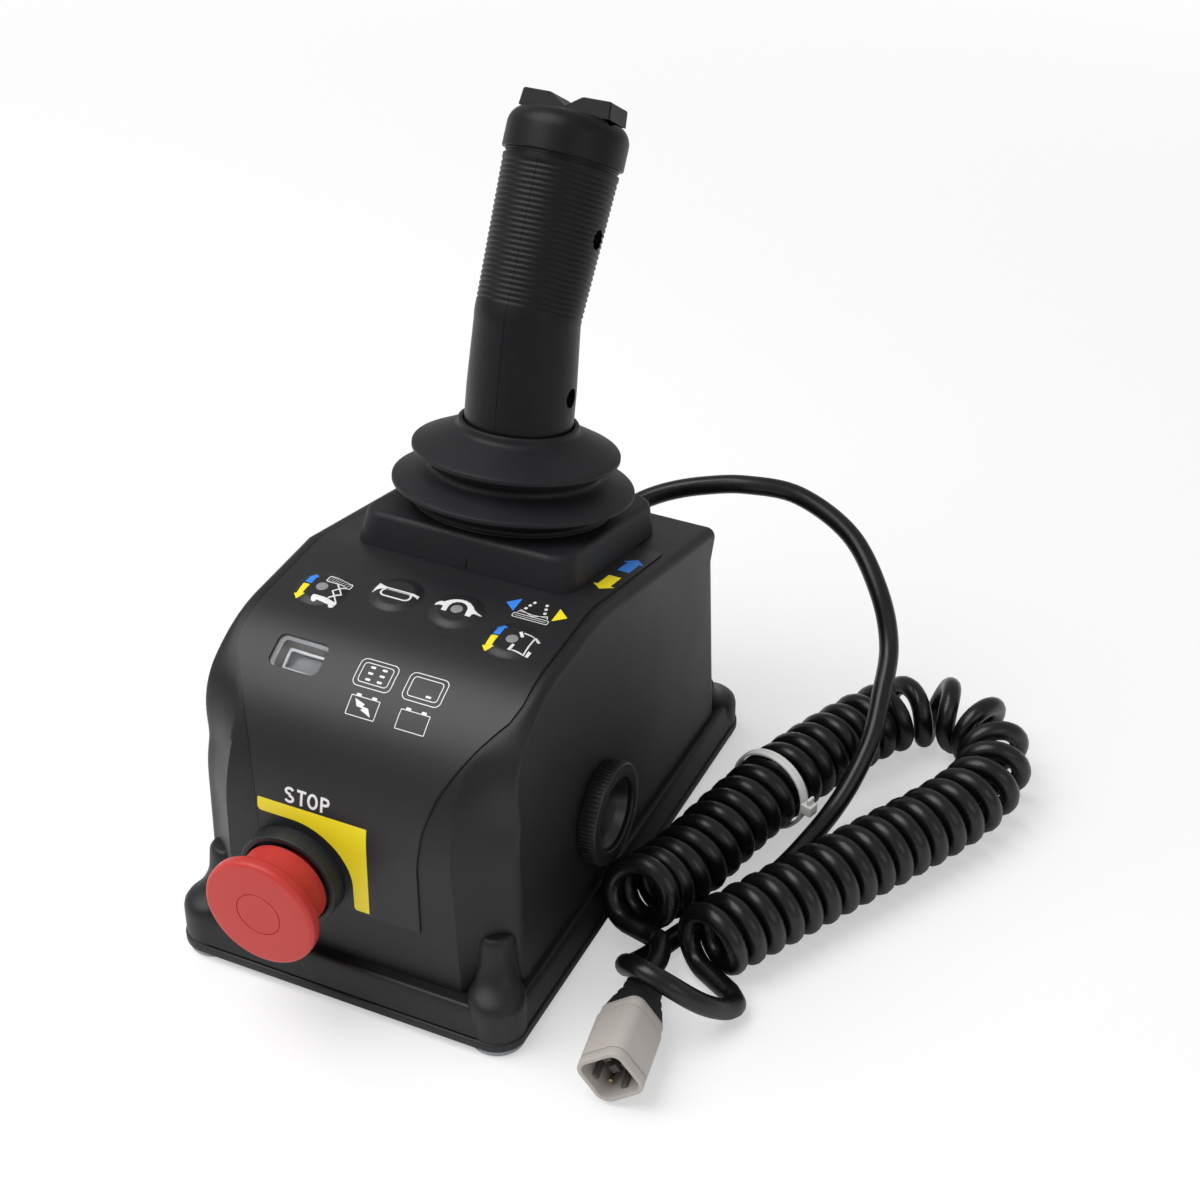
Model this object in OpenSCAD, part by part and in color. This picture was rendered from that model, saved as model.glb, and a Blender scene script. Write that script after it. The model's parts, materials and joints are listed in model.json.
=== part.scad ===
// Control box of a scissor lift: a moulded housing with a tilting handle, four keys,
// an emergency stop, an alarm and a curly cord with its plug.
// Millimetres, Z up, front towards -Y, origin on the floor under the middle of the base.

/* [Base] */
// width across the base rim
base_w = 124; // [120:1:136]
// length of the base rim
base_d = 192; // [188:1:206]
// height of the base rim
rim_h = 3.2; // [3.1:0.1:4.5]
// corner radius of the base rim, with a foot in each corner
rim_r = 10; // [9:0.5:13]
// radius of a foot
foot_r = 9; // [7:0.5:10]
// height of a foot below the base plate
foot_h = 2.5; // [2:0.1:4]
// distance from the rim's edge to the base plate
plate_in = 3; // [2:0.1:3.5]
// thickness of the base plate
plate_t = 2; // [1.2:0.1:2]
// thickness of the seal on the base plate
seal_t = 1; // [0.6:0.1:1]
// shank radius of a base screw
screw_r = 2; // [1.5:0.1:2.5]
// length of a base screw's shank
screw_l = 14; // [10:1:16]

/* [Housing] */
// width of the walls at the crown
body_w = 107; // [104:0.5:110]
// lean of the side walls, degrees
draft = 2.25; // [1:0.25:2.5]
// wall thickness
wall_t = 3; // [2:0.1:3.5]
// distance from the rim's front edge to the nose
front_in = 7; // [6:0.5:10]
// distance from the rim's back edge to the back wall
back_in = 15; // [12:0.5:18]
// height of the skirt above the rim
skirt_h = 10.8; // [8:0.2:14]
// how far the skirt leans in
skirt_in = 2.5; // [1.5:0.1:3]
// height of the upright nose above the rim's underside
nose_h = 60; // [56:1:66]
// height of the crown above the rim's underside
crown_h = 110.6; // [106:0.2:116]
// length of the curve from the nose to the crown
crown_run = 49; // [46:0.5:52]
// length of the nearly level top
top_run = 29.5; // [28:0.5:32]
// rise of the nearly level top
top_rise = 1.2; // [0:0.1:2]
// slope of the handle's seat, degrees
seat_slope = 13; // [10:0.5:16]
// radius of the back top edge
back_r = 4; // [3.5:0.5:8]
// radius of the top's side edges
edge_r = 3; // [1:0.5:3.5]
// radius of the back corners
corner_r = 8; // [4:0.5:10]
// depth of the front corner facets
facet_d = 13.5; // [10:0.5:15]
// width of the front corner facets
facet_w = 16; // [12:0.5:18]

/* [Panel] */
// distance of the panel sheet from the crown's sides
panel_in = 4.5; // [3.5:0.5:6]
// thickness of the panel sheet
panel_t = 0.45; // [0.2:0.05:0.8]
// height of the panel sheet's lower edge above the rim's underside
panel_low = 34.5; // [20:0.5:44]
// length of the panel sheet behind the seat's centre
panel_back = 17; // [10:0.5:20]
// width of the display window
window_w = 17.6; // [14:0.2:20]
// height of the display window
window_d = 11.2; // [8:0.2:12]
// distance of the window left of the middle
window_x = 26; // [24:0.5:28]
// place of the window on the front curve, degrees from the nose
window_at = 63.8; // [60:0.2:66]

/* [Keys] */
// radius of a key
key_r = 7.4; // [6:0.1:8]
// height of a key above the housing's top
key_rise = 1.4; // [1.2:0.1:2]
// travel of a key
key_travel = 0.8; // [0.4:0.1:0.9]
// radius of a key's stem
key_stem_r = 2; // [1.2:0.1:3]
// radius of a key's signal lens
lens_r = 2; // [1:0.1:3]
// distance from the housing's top to the circuit board
board_drop = 12.4; // [11.5:0.1:14]
// distance of the circuit board from the crown's sides
board_in = 8.5; // [7.5:0.5:10.5]
// depth of the circuit board
board_d = 30; // [28:1:31]
// thickness of the circuit board
board_t = 1.6; // [1:0.1:2]

/* [Stop button] */
// distance of the stop button left of the middle
stop_x = 15.2; // [12:0.2:18]
// height of the stop button above the rim's underside
stop_z = 44.3; // [40:0.1:48]
// radius of the stop button's head
stop_head_r = 19.3; // [17:0.1:21]
// thickness of the head's rim
stop_rim_t = 5; // [3:0.5:7]
// radius of the head's neck
stop_neck_r = 14.6; // [12:0.1:15]
// distance from the nose to the head's front
stop_reach = 23; // [21.5:0.5:26]
// travel of the stop button
stop_travel = 5.5; // [3:0.5:5.5]
// outer radius of the stop button's collar
collar_r = 17; // [16:0.1:18]
// height of the collar on the nose
collar_h = 6.5; // [6:0.1:8]
// radius of the threaded sleeve behind the collar
sleeve_r = 10.9; // [9.5:0.1:11.5]

/* [Alarm] */
// distance of the alarm in front of the base's middle
alarm_y = 20; // [12:1:26]
// height of the alarm above the rim's underside
alarm_z = 41; // [36:0.5:52]
// radius of the alarm's ring
alarm_r = 17.4; // [16:0.1:19]
// how far the alarm stands out from the wall
alarm_reach = 6.4; // [5:0.1:6.8]
// radius of the alarm's case
alarm_case_r = 14; // [12:0.1:14.5]
// depth of the alarm's case inside the wall
alarm_depth = 26; // [20:1:30]

/* [Boot] */
// width of the boot's square flange
flange_w = 78; // [76:0.5:80]
// depth of the boot's square flange
flange_d = 74.5; // [72:0.5:76]
// height of the boot's square flange
flange_h = 12; // [11:0.5:13]
// radius of the lower fold
fold_low_r = 40.3; // [38:0.1:41]
// radius of the upper fold
fold_up_r = 34.5; // [32:0.1:37]
// thickness of the rubber
rubber_t = 1.8; // [1.2:0.1:2.2]

/* [Joystick] */
// depth of the tilt axis below the seat
pivot_drop = 10; // [9:0.5:12]
// greatest tilt of the handle each way, degrees
tilt_max = 20; // [10:1:22]
// radius of the shaft
shaft_r = 6; // [5:0.1:7]
// height of the handle's foot above the seat
foot_w = 36.5; // [36:0.5:39]
// height of the handle's bend above the seat
bend_w = 75.9; // [73:0.1:79]
// further lean of the grip, degrees
grip_lean = 18.6; // [12:0.2:24]
// length of the grip above the bend
grip_l = 49; // [47:0.5:52]
// radius of the handle at its foot
handle_r = 18; // [17:0.1:18]
// radius of the handle at its bend
waist_r = 17.2; // [16.5:0.1:17.8]
// radius of the grip under the cap
grip_r = 19; // [18.4:0.1:19.5]
// radius of the cap
cap_r = 19.9; // [19.5:0.1:21]
// height of the cap
cap_h = 16; // [14:0.5:18]
// pitch of the grip's ribs
rib_pitch = 1.75; // [1.5:0.05:2]
// depth of the grooves between the ribs
rib_depth = 0.4; // [0.2:0.05:0.6]
// length of the rocker on the cap
rocker_w = 35; // [32:0.5:36]
// depth of the rocker from front to back
rocker_d = 15; // [12:0.5:17]
// height of the rocker's paddles
rocker_h = 5.2; // [4:0.1:6]
// greatest tilt of the rocker each way, degrees
rocker_max = 6; // [3:0.5:6.5]
// width of the trigger
trigger_w = 16; // [12:0.5:18]
// length of the trigger below its pin
trigger_l = 34; // [28:0.5:36]

/* [Cord] */
// diameter of the cord
cord_d = 7; // [6:0.1:7.2]
// radius of a curl, measured at the cord's middle
curl_r = 10; // [9:0.1:10.2]
// width of the cord tie
tie_w = 3.6; // [2.5:0.1:5]
// thickness of the cord tie
tie_t = 1.1; // [0.8:0.1:1.3]
// width of the plug
plug_w = 17.5; // [15:0.1:18]
// length of the plug
plug_l = 26.75; // [24:0.25:28]
// length of the boot on the plug
plug_boot_l = 13.5; // [13.5:0.1:13.6]

/* [Hidden] */
$fn = 48;

// overrun of all cuts
over = 1;
// clearance of a part fixed in its hole
fit_gap = 0.05;
// clearance of a moving part beside a fixed one
side_gap = 0.3;
// clearance of a fixed part in a wall opening
wall_gap = 0.15;

// colours
black = [0.07, 0.07, 0.075];
rubber = [0.05, 0.05, 0.055];
steel = [0.7, 0.7, 0.72];
red = [0.85, 0.16, 0.17];
grey = [0.62, 0.6, 0.58];
green = [0.08, 0.3, 0.16];
clear = [0.85, 0.88, 0.9];
white = [0.93, 0.93, 0.92];

// places of the housing
base_z = foot_h;
nose_y = front_in - base_d / 2;
back_y = base_d / 2 - back_in;
crown_y = nose_y + crown_run;
crown_z = base_z + crown_h;
bend_y = crown_y + top_run;
bend_z = crown_z + top_rise;
top_tilt = atan(top_rise / top_run);
seat_run = 39.5;
seat_y = bend_y + seat_run * cos(seat_slope);
seat_z = bend_z - seat_run * sin(seat_slope);
rim_top = base_z + rim_h;
foot_x = base_w / 2 - rim_r;
foot_y = base_d / 2 - rim_r;
skirt_step = 0.7;
skirt_slice = 0.1;
curve_steps = 12;
back_steps = 3;
side_steps = 4;
facet_out_shares = [1, 0.66, 0.33, 0.06, 0];
facet_deep_shares = [0, 0.38, 0.72, 0.93, 1.1];
facet_fade_shares = [0.683, 0.918];
facet_narrow_shares = [0.827, 0.99];

// least radius of an inner edge
inner_r = 0.3;

// corner bosses of the housing
boss_r = 9.5;
boss_top_r = 6.5;
boss_low_h = 16;
boss_front_h = 36;
boss_back_h = 24;
boss_lean_x = 3.5;
boss_lean_y = 7.5;
thread_gap = 0.05;

// base plate, seal, feet and screws
plate_gap = 0.2;
plate_r = rim_r - plate_in + over;
seal_w = 5;
foot_sink = 0.3;
foot_bore_r = 4.6;
head_r = 3.8;
head_h = 1.9;
socket_r = 1.6;
socket_h = 1.1;

// panel sheet and window
panel_w = body_w - 2 * panel_in;
sheet_rise = 0.05;
sheet_turns = [0, 15.2, 28.2, 38.4, 49.2, 58, 61.3, 68.5, 90];
sheet_width_shares = [0.571, 0.6, 0.663, 0.743, 0.841, 0.935, 0.971, 1, 1];
window_r = 2.4;
window_in = 0.35;
window_t = 4.4;
display_in = 4.2;
display_w = window_w + 2 * display_in;
display_step = 1.4;
display_d = window_d + 2 * display_step;
display_t = 8;

// keys
key_x_shares = [-0.337, -0.102, 0.117, 0.347];
key_run_shares = [0.169, 0.39, 0.39, 0.169];
key_crown = 0.5;
key_lip = 1.6;
key_lip_t = 1.2;
lens_deep = 1.5;
switch_w = 7;
switch_h = 1;
button_r = 1.7;
board_w = body_w - 2 * board_in;
board_run = 8;
post_r = 2.5;
post_x_share = 0.226;
post_in = 3;
board_screw_r = 1.4;
board_head_r = 2.6;
board_head_h = 1.5;
board_screw_l = 6;

// stop button
collar_wall = 2;
collar_floor = 1.2;
sleeve_l = 14;
sleeve_shaft_r = 8;
nut_r = 14.5;
nut_h = 5;
contacts_w = 30;
contacts_h = 36;
contacts_l = 34;
stop_edge_r = 1.6;
ring_mark_r = 7.6;
ring_mark_w = 0.4;
ring_mark_d = 0.3;

// alarm
alarm_lip = 1.5;
alarm_horn_r = 11.5;
alarm_throat_r = 6.5;
alarm_horn_h = 4;
alarm_nut_h = 4;
alarm_nut_w = 3;
knurl_n = 24;
knurl_r = 0.6;

// boot and joystick
stick_v = 1.3;
flange_r = 5;
flange_taper = 1.2;
flange_wall = 5;
flange_top = 3;
flange_slice = 0.1;
boot_rim_w = 6.25;
boot_hole_r = flange_d / 2 - boot_rim_w;
fold_low_w = 19;
fold_up_w = 30.8;
fold_edge = 1.4;
neck_step = 1;
neck_low_r = boot_hole_r - neck_step;
neck_up_r = 25;
boot_collar_t = 1.5;
boot_collar_h = 2.5;
seat_room = 8;
seat_hole_r = pivot_drop * tan(tilt_max) + shaft_r / cos(tilt_max) + seat_room;
base_plate_in = 5.25;
base_plate_w = flange_d - 2 * base_plate_in;
base_plate_t = 2.5;
case_in = 5;
case_w = base_plate_w - 2 * case_in;
case_h = 34;
case_wall = 8;
tilt_pin_r = 2.5;
hub_r = 7.5;
hub_w = 24;
tail_l = 14;
tail_r = 4;
shaft_up = 62;
mount_screw_r = 2;
mount_head_r = 3.6;
mount_head_h = 2.2;
mount_screw_l = 9;
mount_in = 5;

// handle
shell_t = 6;
rib_start = 1.5;
rib_n = floor((grip_l - 3 * rib_start) / rib_pitch);
grip_low_r = 17.3;
foot_chamfer = 1;
bend_more = 0.4;
handle_screw_w = 52;
grip_screw_d = 28;
handle_boss_r = 4.6;
handle_head_r = 3.2;
handle_head_h = 2.2;
handle_head_x = 12;
handle_shank_r = 1.5;
handle_shank_l = 19;
groove_w = 0.9;
groove_d = 0.9;
cap_shoulder_r = 6.5;
cap_spigot_r = 11.9;
cap_spigot_h = 3;
rocker_notch_w = 7.6;
rocker_notch_h = 3.8;
rocker_flare = 0.9;
rocker_sink = 0.4;
rocker_drop = rocker_w / 2 * sin(rocker_max) + side_gap;
hub_rocker_r = 3.6;
rocker_axis = 5;
rocker_pin_r = 1.5;
steer_switch_w = 8;
steer_switch_d = 9;
steer_switch_h = 6;
trigger_pin_d = 38;
trigger_pin_out = 14.8;
trigger_pin_r = 1.3;
trigger_thick = 6.4;
trigger_out = 21.6;
trigger_eye_r = 3.4;
trigger_pin_over = 4;

// gland, where the cord leaves the back wall
gland_x = 9;
gland_z = 71.5;
gland_thread_r = 6;
gland_hex_r = 8.6;
gland_hex_h = 4.5;
gland_dome_r = 7.4;
gland_tip_r = 5.2;
gland_h = 16;
gland_nut_h = 4;

// route of the curly part's middle line, in places chosen by hand
coil_route = [[100, -35, 14], [113, -11, 14], [126, 13, 14], [139, 37, 14], [151, 60, 14],
  [157.5, 78, 14], [157.5, 94, 14], [150, 108, 14], [137, 114.5, 14], [123, 111.5, 14],
  [112.5, 100, 14], [104, 83, 14], [96.5, 63, 14.6], [90.5, 42, 15.6], [85.5, 21, 15.8],
  [81, 0, 15.6], [77, -16, 17], [73.5, -31, 21.4]];
// route of the straight lead between the gland and the curls
lead_route = [[9, 104, 74], [12.5, 110.5, 76], [21, 116.5, 79], [33, 121, 82], [48, 125, 84],
  [67, 129, 82], [89, 124, 74], [105, 112, 61], [113.5, 101, 47], [116.5, 86, 36],
  [118, 73, 27], [116.5, 60, 18], [113.5, 48, 11], [110, 33, 7.5], [106, 19, 5],
  [101, 5, 4.2], [93.5, -10, 4.1], [87, -24, 4.1], [82.5, -36, 4.1], [79.5, -46.5, 7],
  [82.5, -56, 17], [90, -63, 24.5], [100, -64.5, 23], [109, -60, 15], [114, -53, 8],
  [116, -46.5, 4.6]];
// route of the short tail between the curls and the plug
tail_route = [[86, -37.5, 12], [88.5, -44, 12.2]];
coil_turns = 38;
coil_rings = 8;
coil_sides = 6;
coil_steps = 24;
lead_sides = 8;
lead_steps = 3;
tail_steps = 4;
coil_start_turn = 270;
turn_pitch = 7.9;
turn_inside = 8;
smooth_span = 12;
straight_l = cord_d;
tie_at = 0.755;
tie_gap = 0.35;
tie_head = 4;

// plug, lying on the floor in front of the curls
plug_place = [96, -97.8, 12.2];
plug_yaw = 9;
plug_roll = 35;
plug_corner_r = 3;
plug_wall = 1.5;
plug_deep = 14;
plug_line_at = 3;
plug_line_w = 0.6;
plug_line_d = 0.3;
plug_boot_r = 6;
plug_boot_slice = 0.5;
plug_boot_w = 15.5;
wedge_w = 8;
wedge_l = 7;
wedge_slot = 1.4;
pin_n = 4;
pin_ring_r = 5.4;
pin_r = 0.8;
pin_l = 9;

function unit(v) = v / norm(v);
function mix(a, b, t) = a + (b - a) * t;
function fade(h, from, to) = let (t = min(1, max(0, (h - from) / (to - from))))
  1 - t * t * (3 - 2 * t);
function wall_x(z) = body_w / 2 + (crown_z - z) * tan(draft);

// Side profile of the housing as [y, z, normal y, normal z, radius of the side edges].
function curve_n(a) = unit([-cos(a) / crown_run, sin(a) / (crown_h - nose_h)]);
function curve_p(a) = [crown_y - crown_run * cos(a), base_z + nose_h + (crown_h - nose_h) * sin(a)];
function seat_height(y) = bend_z - (y - bend_y) * tan(seat_slope);
back_z = seat_height(back_y - back_r) - back_r / cos(seat_slope);
function profile_rows(low) = [
  [nose_y, low, -1, 0, edge_r],
  for (i = [0:curve_steps])
    let (a = 90 * i / curve_steps) concat(curve_p(a), curve_n(a), [edge_r]),
  concat([bend_y, bend_z],
    unit([sin(seat_slope) - sin(top_tilt), cos(seat_slope) + cos(top_tilt)]), [edge_r]),
  for (i = [0:back_steps])
    let (a = (90 - seat_slope) * (1 - i / back_steps))
      [back_y - back_r + back_r * cos(a), back_z + back_r * sin(a), cos(a), sin(a), edge_r],
  [back_y, back_z - corner_r, 1, 0, corner_r],
  [back_y, low, 1, 0, corner_r]];

// One side's points across the profile: an edge radius that turns into the front facet.
function side_point(row, e, j) = let (
  h = (row[1] - base_z) / crown_h,
  front = row[2] < 0 ? 1 : 0,
  deep = front * fade(h, facet_fade_shares[0], facet_fade_shares[1]),
  wide = front * fade(h, facet_narrow_shares[0], facet_narrow_shares[1]),
  r = max(row[4] + e, inner_r),
  a = 90 * j / side_steps,
  out = mix(r - r * sin(a), facet_w * facet_out_shares[j], wide),
  t = mix(r - r * cos(a), facet_d * facet_deep_shares[j], deep) - e,
  y = row[0] - row[2] * t,
  z = row[1] - row[3] * t)
  [wall_x(z) + e - out, y, z];
function flip_x(p) = [-p[0], p[1], p[2]];
function cross_points(row, e) = concat(
  [for (j = [side_steps:-1:0]) flip_x(side_point(row, e, j))],
  [for (j = [0:side_steps]) side_point(row, e, j)]);

module body_loft(e, low) {
  rows = profile_rows(low);
  n = len(rows);
  m = 2 * (side_steps + 1);
  points = [for (row = rows) each cross_points(row, e)];
  faces = concat(
    [for (i = [0:n - 2], k = [0:m - 2]) each let (a = i * m + k, d = a + m)
      [[a, d, d + 1], [a, d + 1, a + 1]]],
    [for (i = [0:n - 3]) [(n - 1) * m + m - 1, i * m + m - 1, (i + 1) * m + m - 1]],
    [for (i = [0:n - 3]) [(n - 1) * m, (i + 1) * m, i * m]],
    [for (k = [0:m - 2]) each let (b = (n - 1) * m + k)
      [[k, k + 1, b + 1], [k, b + 1, b]]]);
  polyhedron(points, faces, convexity = 6);
}

module round_rect(w, d, r) {
  square([w - 2 * r, d], center = true);
  square([w, d - 2 * r], center = true);
  for (x = [-1, 1], y = [-1, 1])
    translate([x * (w / 2 - r), y * (d / 2 - r)]) circle(r);
}

module slab(w, d, r, h) linear_extrude(h) round_rect(w, d, r);

module at_feet() {
  for (x = [-1, 1], y = [-1, 1]) translate([x * foot_x, y * foot_y, 0]) children();
}

// Frames of the panel: the level top, a place on the front curve, the nose and the walls.
module at_top(x, run) {
  translate([x, crown_y, crown_z]) rotate([top_tilt, 0, 0]) translate([0, run, 0]) children();
}

module at_curve(x, a) {
  p = curve_p(a);
  n = curve_n(a);
  translate([x, p[0], p[1]]) rotate([atan2(-n[0], n[1]), 0, 0]) children();
}

module at_nose(x, h) {
  translate([x, nose_y, base_z + h]) rotate([90, 0, 0]) children();
}

module at_side(y, h) {
  translate([wall_x(base_z + h), y, base_z + h]) rotate([0, 90 - draft, 0]) children();
}

module at_back(x, h) {
  translate([x, back_y, base_z + h]) rotate([-90, 0, 0]) children();
}

module at_seat() {
  translate([0, seat_y, seat_z]) rotate([-seat_slope, 0, 0]) children();
}

module at_stick() {
  at_seat() translate([0, stick_v, 0]) children();
}

module at_grip() {
  at_stick() translate([0, 0, bend_w]) rotate([-grip_lean, 0, 0]) children();
}

module at_mounts() {
  s = base_plate_w / 2 - mount_in;
  at_stick() for (x = [-s, s], y = [-s, s]) translate([x, y, 0]) children();
}

module at_posts() {
  w = post_x_share * panel_w;
  d = board_d / 2 - post_in;
  for (x = [-w, w], run = [board_run - d, board_run + d]) at_top(x, run) children();
}

module key_places() {
  for (i = [0:len(key_x_shares) - 1]) at_key(i) children();
}

module at_key(i) {
  at_top(key_x_shares[i] * panel_w, key_run_shares[i] * top_run) children();
}

module front_boss(x) {
  hull() {
    translate([x * foot_x, -foot_y, rim_top - rim_h / 3])
      cylinder(boss_low_h, r = boss_r, $fn = 32);
    translate([x * (foot_x - boss_lean_x), boss_lean_y - foot_y, rim_top - rim_h / 3])
      cylinder(boss_front_h - rim_h, r = boss_top_r, $fn = 32);
  }
}

module back_boss(x) {
  hull() {
    translate([x * foot_x, foot_y, rim_top - rim_h / 3])
      cylinder(boss_low_h - rim_h, r = boss_r, $fn = 32);
    translate([x * (foot_x - boss_lean_x), foot_y - boss_lean_y, rim_top - rim_h / 3])
      cylinder(boss_back_h - rim_h, r = boss_top_r, $fn = 32);
  }
}

module skirt() {
  hull() {
    translate([0, 0, rim_top - skirt_slice])
      slab(base_w - 2 * skirt_step, base_d - 2 * skirt_step, rim_r - skirt_step, skirt_slice, $fn = 32);
    translate([0, 0, rim_top + skirt_h - skirt_slice])
      slab(base_w - 2 * skirt_in, base_d - 2 * skirt_in, rim_r - skirt_in, skirt_slice, $fn = 32);
  }
}

module housing_shell() color(black) {
  seat_z_low = base_z + plate_t + seal_t;
  difference() {
    union() {
      body_loft(0, rim_top - rim_h / 2);
      translate([0, 0, base_z]) slab(base_w, base_d, rim_r, rim_h);
      skirt();
      for (x = [-1, 1]) front_boss(x);
      for (x = [-1, 1]) back_boss(x);
    }
    body_loft(-wall_t, base_z - over);
    translate([0, 0, base_z - over])
      slab(base_w - 2 * plate_in + 2 * plate_gap, base_d - 2 * plate_in + 2 * plate_gap,
           plate_r + plate_gap, plate_t + seal_t + over);
    at_feet() translate([0, 0, seat_z_low - over])
      cylinder(screw_l + over, r = screw_r + thread_gap);
    at_feet() translate([0, 0, base_z - over]) cylinder(foot_sink + over, r = foot_r + fit_gap);
    at_nose(-stop_x, stop_z) translate([0, 0, -wall_t - over])
      cylinder(wall_t + 2 * over, r = sleeve_r + wall_gap);
    at_side(-alarm_y, alarm_z) translate([0, 0, -wall_t - over])
      cylinder(wall_t + 2 * over, r = alarm_case_r + wall_gap);
    at_back(gland_x, gland_z) translate([0, 0, -wall_t - over])
      cylinder(wall_t + 2 * over, r = gland_thread_r + wall_gap);
    at_stick() translate([0, 0, -wall_t - over])
      cylinder(wall_t + 2 * over, r = seat_hole_r);
    at_mounts() translate([0, 0, -wall_t - over])
      cylinder(wall_t + 2 * over, r = mount_screw_r + thread_gap);
    key_places() translate([0, 0, -wall_t - over])
      cylinder(wall_t + 2 * over, r = key_r + side_gap);
    at_curve(-window_x, window_at) translate([0, 0, -wall_t - 2 * over])
      slab(window_w, window_d, window_r, wall_t + 4 * over);
  }
  difference() {
    at_posts() translate([0, 0, -board_drop]) cylinder(board_drop - wall_t / 2, r = post_r);
    at_posts() translate([0, 0, -board_drop - over])
      cylinder(board_screw_l - board_t + over, r = board_screw_r + thread_gap);
  }
}

module base_plate() color(black) {
  difference() {
    translate([0, 0, base_z]) slab(base_w - 2 * plate_in, base_d - 2 * plate_in, plate_r, plate_t);
    at_feet() translate([0, 0, base_z - over])
      cylinder(foot_sink + over, r = foot_r + fit_gap);
    at_feet() translate([0, 0, base_z - over])
      cylinder(plate_t + 2 * over, r = screw_r + wall_gap);
  }
}

module base_seal() color(rubber) {
  translate([0, 0, base_z + plate_t]) difference() {
    slab(base_w - 2 * plate_in, base_d - 2 * plate_in, plate_r, seal_t);
    translate([0, 0, -over])
      slab(base_w - 2 * plate_in - 2 * seal_w, base_d - 4 * rim_r, plate_r, seal_t + 2 * over);
    at_feet() translate([0, 0, -over]) cylinder(seal_t + 2 * over, r = screw_r + wall_gap);
  }
}

module base_screws() color(steel) {
  at_feet() translate([0, 0, base_z + foot_sink]) difference() {
    union() {
      translate([0, 0, -head_h]) cylinder(head_h, r = head_r);
      cylinder(screw_l, r = screw_r);
    }
    translate([0, 0, -head_h - over]) cylinder(socket_h + over, r = socket_r, $fn = 6);
  }
}

module base_feet() color(clear) {
  at_feet() difference() {
    cylinder(foot_h + foot_sink, r = foot_r);
    translate([0, 0, -over]) cylinder(foot_h + foot_sink + 2 * over, r = foot_bore_r);
  }
}

// The sheet follows the profile; each row has its own half width.
function sheet_half(a) = panel_w / 2 * lookup(a, [for (i = [0:len(sheet_turns) - 1])
  [sheet_turns[i], sheet_width_shares[i]]]);
sheet_end_y = seat_y + panel_back;
sheet_rows = [
  [nose_y, base_z + panel_low, -1, 0, sheet_half(0)],
  for (i = [0:curve_steps]) let (a = 90 * i / curve_steps)
    concat(curve_p(a), curve_n(a), [sheet_half(a)]),
  [bend_y, bend_z, sin((seat_slope - top_tilt) / 2), cos((seat_slope - top_tilt) / 2), panel_w / 2],
  [sheet_end_y, seat_height(sheet_end_y), sin(seat_slope), cos(seat_slope), panel_w / 2]];
function sheet_points(row) = [for (e = [sheet_rise, sheet_rise + panel_t], x = [-1, 1])
  [x * row[4], row[0] + row[2] * e, row[1] + row[3] * e]];

module panel_sheet() color(black) {
  n = len(sheet_rows);
  points = [for (row = sheet_rows) each sheet_points(row)];
  ring = [0, 1, 3, 2];
  faces = concat(
    [for (i = [0:n - 2], k = [0:3]) let (a = ring[k], b = ring[(k + 1) % 4])
      each [[4 * i + a, 4 * i + b, 4 * i + 4 + b], [4 * i + a, 4 * i + 4 + b, 4 * i + 4 + a]]],
    [[0, 2, 3], [0, 3, 1]],
    [[4 * n - 4, 4 * n - 3, 4 * n - 1], [4 * n - 4, 4 * n - 1, 4 * n - 2]]);
  difference() {
    polyhedron(points, faces, convexity = 6);
    at_nose(-stop_x, stop_z) translate([0, 0, -over])
      cylinder(panel_t + 2 * over, r = collar_r + wall_gap);
    at_stick() translate([0, 0, -over])
      slab(flange_w - 2 * flange_r, flange_d - 2 * flange_r, flange_r, panel_t + 2 * over);
    key_places() translate([0, 0, -over]) cylinder(panel_t + 2 * over, r = key_r + side_gap);
  }
}

module window_lens() color(clear) {
  at_curve(-window_x, window_at) translate([0, 0, -window_in - window_t])
    slab(window_w - 2 * wall_gap, window_d - 2 * wall_gap, window_r - wall_gap, window_t);
}

module display_module() color(grey) {
  at_curve(-window_x, window_at) translate([0, 0, -window_in - window_t - display_t])
    slab(display_w, display_d, window_r, display_t);
}

module circuit_board() color(green) {
  difference() {
    at_top(0, board_run) translate([0, 0, -board_drop - board_t])
      slab(board_w, board_d, window_r, board_t);
    at_posts() translate([0, 0, -board_drop - board_t - over])
      cylinder(board_t + 2 * over, r = board_screw_r + wall_gap);
  }
}

module board_screws() color(steel) {
  at_posts() translate([0, 0, -board_drop - board_t]) {
    translate([0, 0, -board_head_h]) cylinder(board_head_h, r = board_head_r);
    cylinder(board_screw_l - over, r = board_screw_r);
  }
}

module key_switches() color(steel) {
  button_h = switch_h + side_gap;
  key_places() translate([0, 0, -board_drop]) {
    translate([-switch_w / 2, -switch_w / 2, 0]) cube([switch_w, switch_w, switch_h]);
    cylinder(button_h, r = button_r);
  }
}

// A key: domed top, a lip under the housing's wall and a stem over its switch.
module key_cap(with_lens) {
  lip_top = -wall_t - side_gap - key_crown;
  stem_end = -board_drop + switch_h + 2 * side_gap + key_travel;
  flat_r = key_r - 2 * key_crown;
  difference() {
    rotate_extrude() polygon([[0, stem_end], [key_stem_r, stem_end],
      [key_stem_r, lip_top - key_lip_t], [key_r + key_lip, lip_top - key_lip_t],
      [key_r + key_lip, lip_top], [key_r, lip_top], [key_r, key_rise - key_crown],
      [flat_r, key_rise], [0, key_rise]]);
    if (with_lens) translate([0, 0, key_rise - lens_deep])
      cylinder(lens_deep + over, r = lens_r + fit_gap);
  }
}

module key_lens() {
  translate([0, 0, key_rise - lens_deep]) cylinder(lens_deep, r = lens_r);
}

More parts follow.
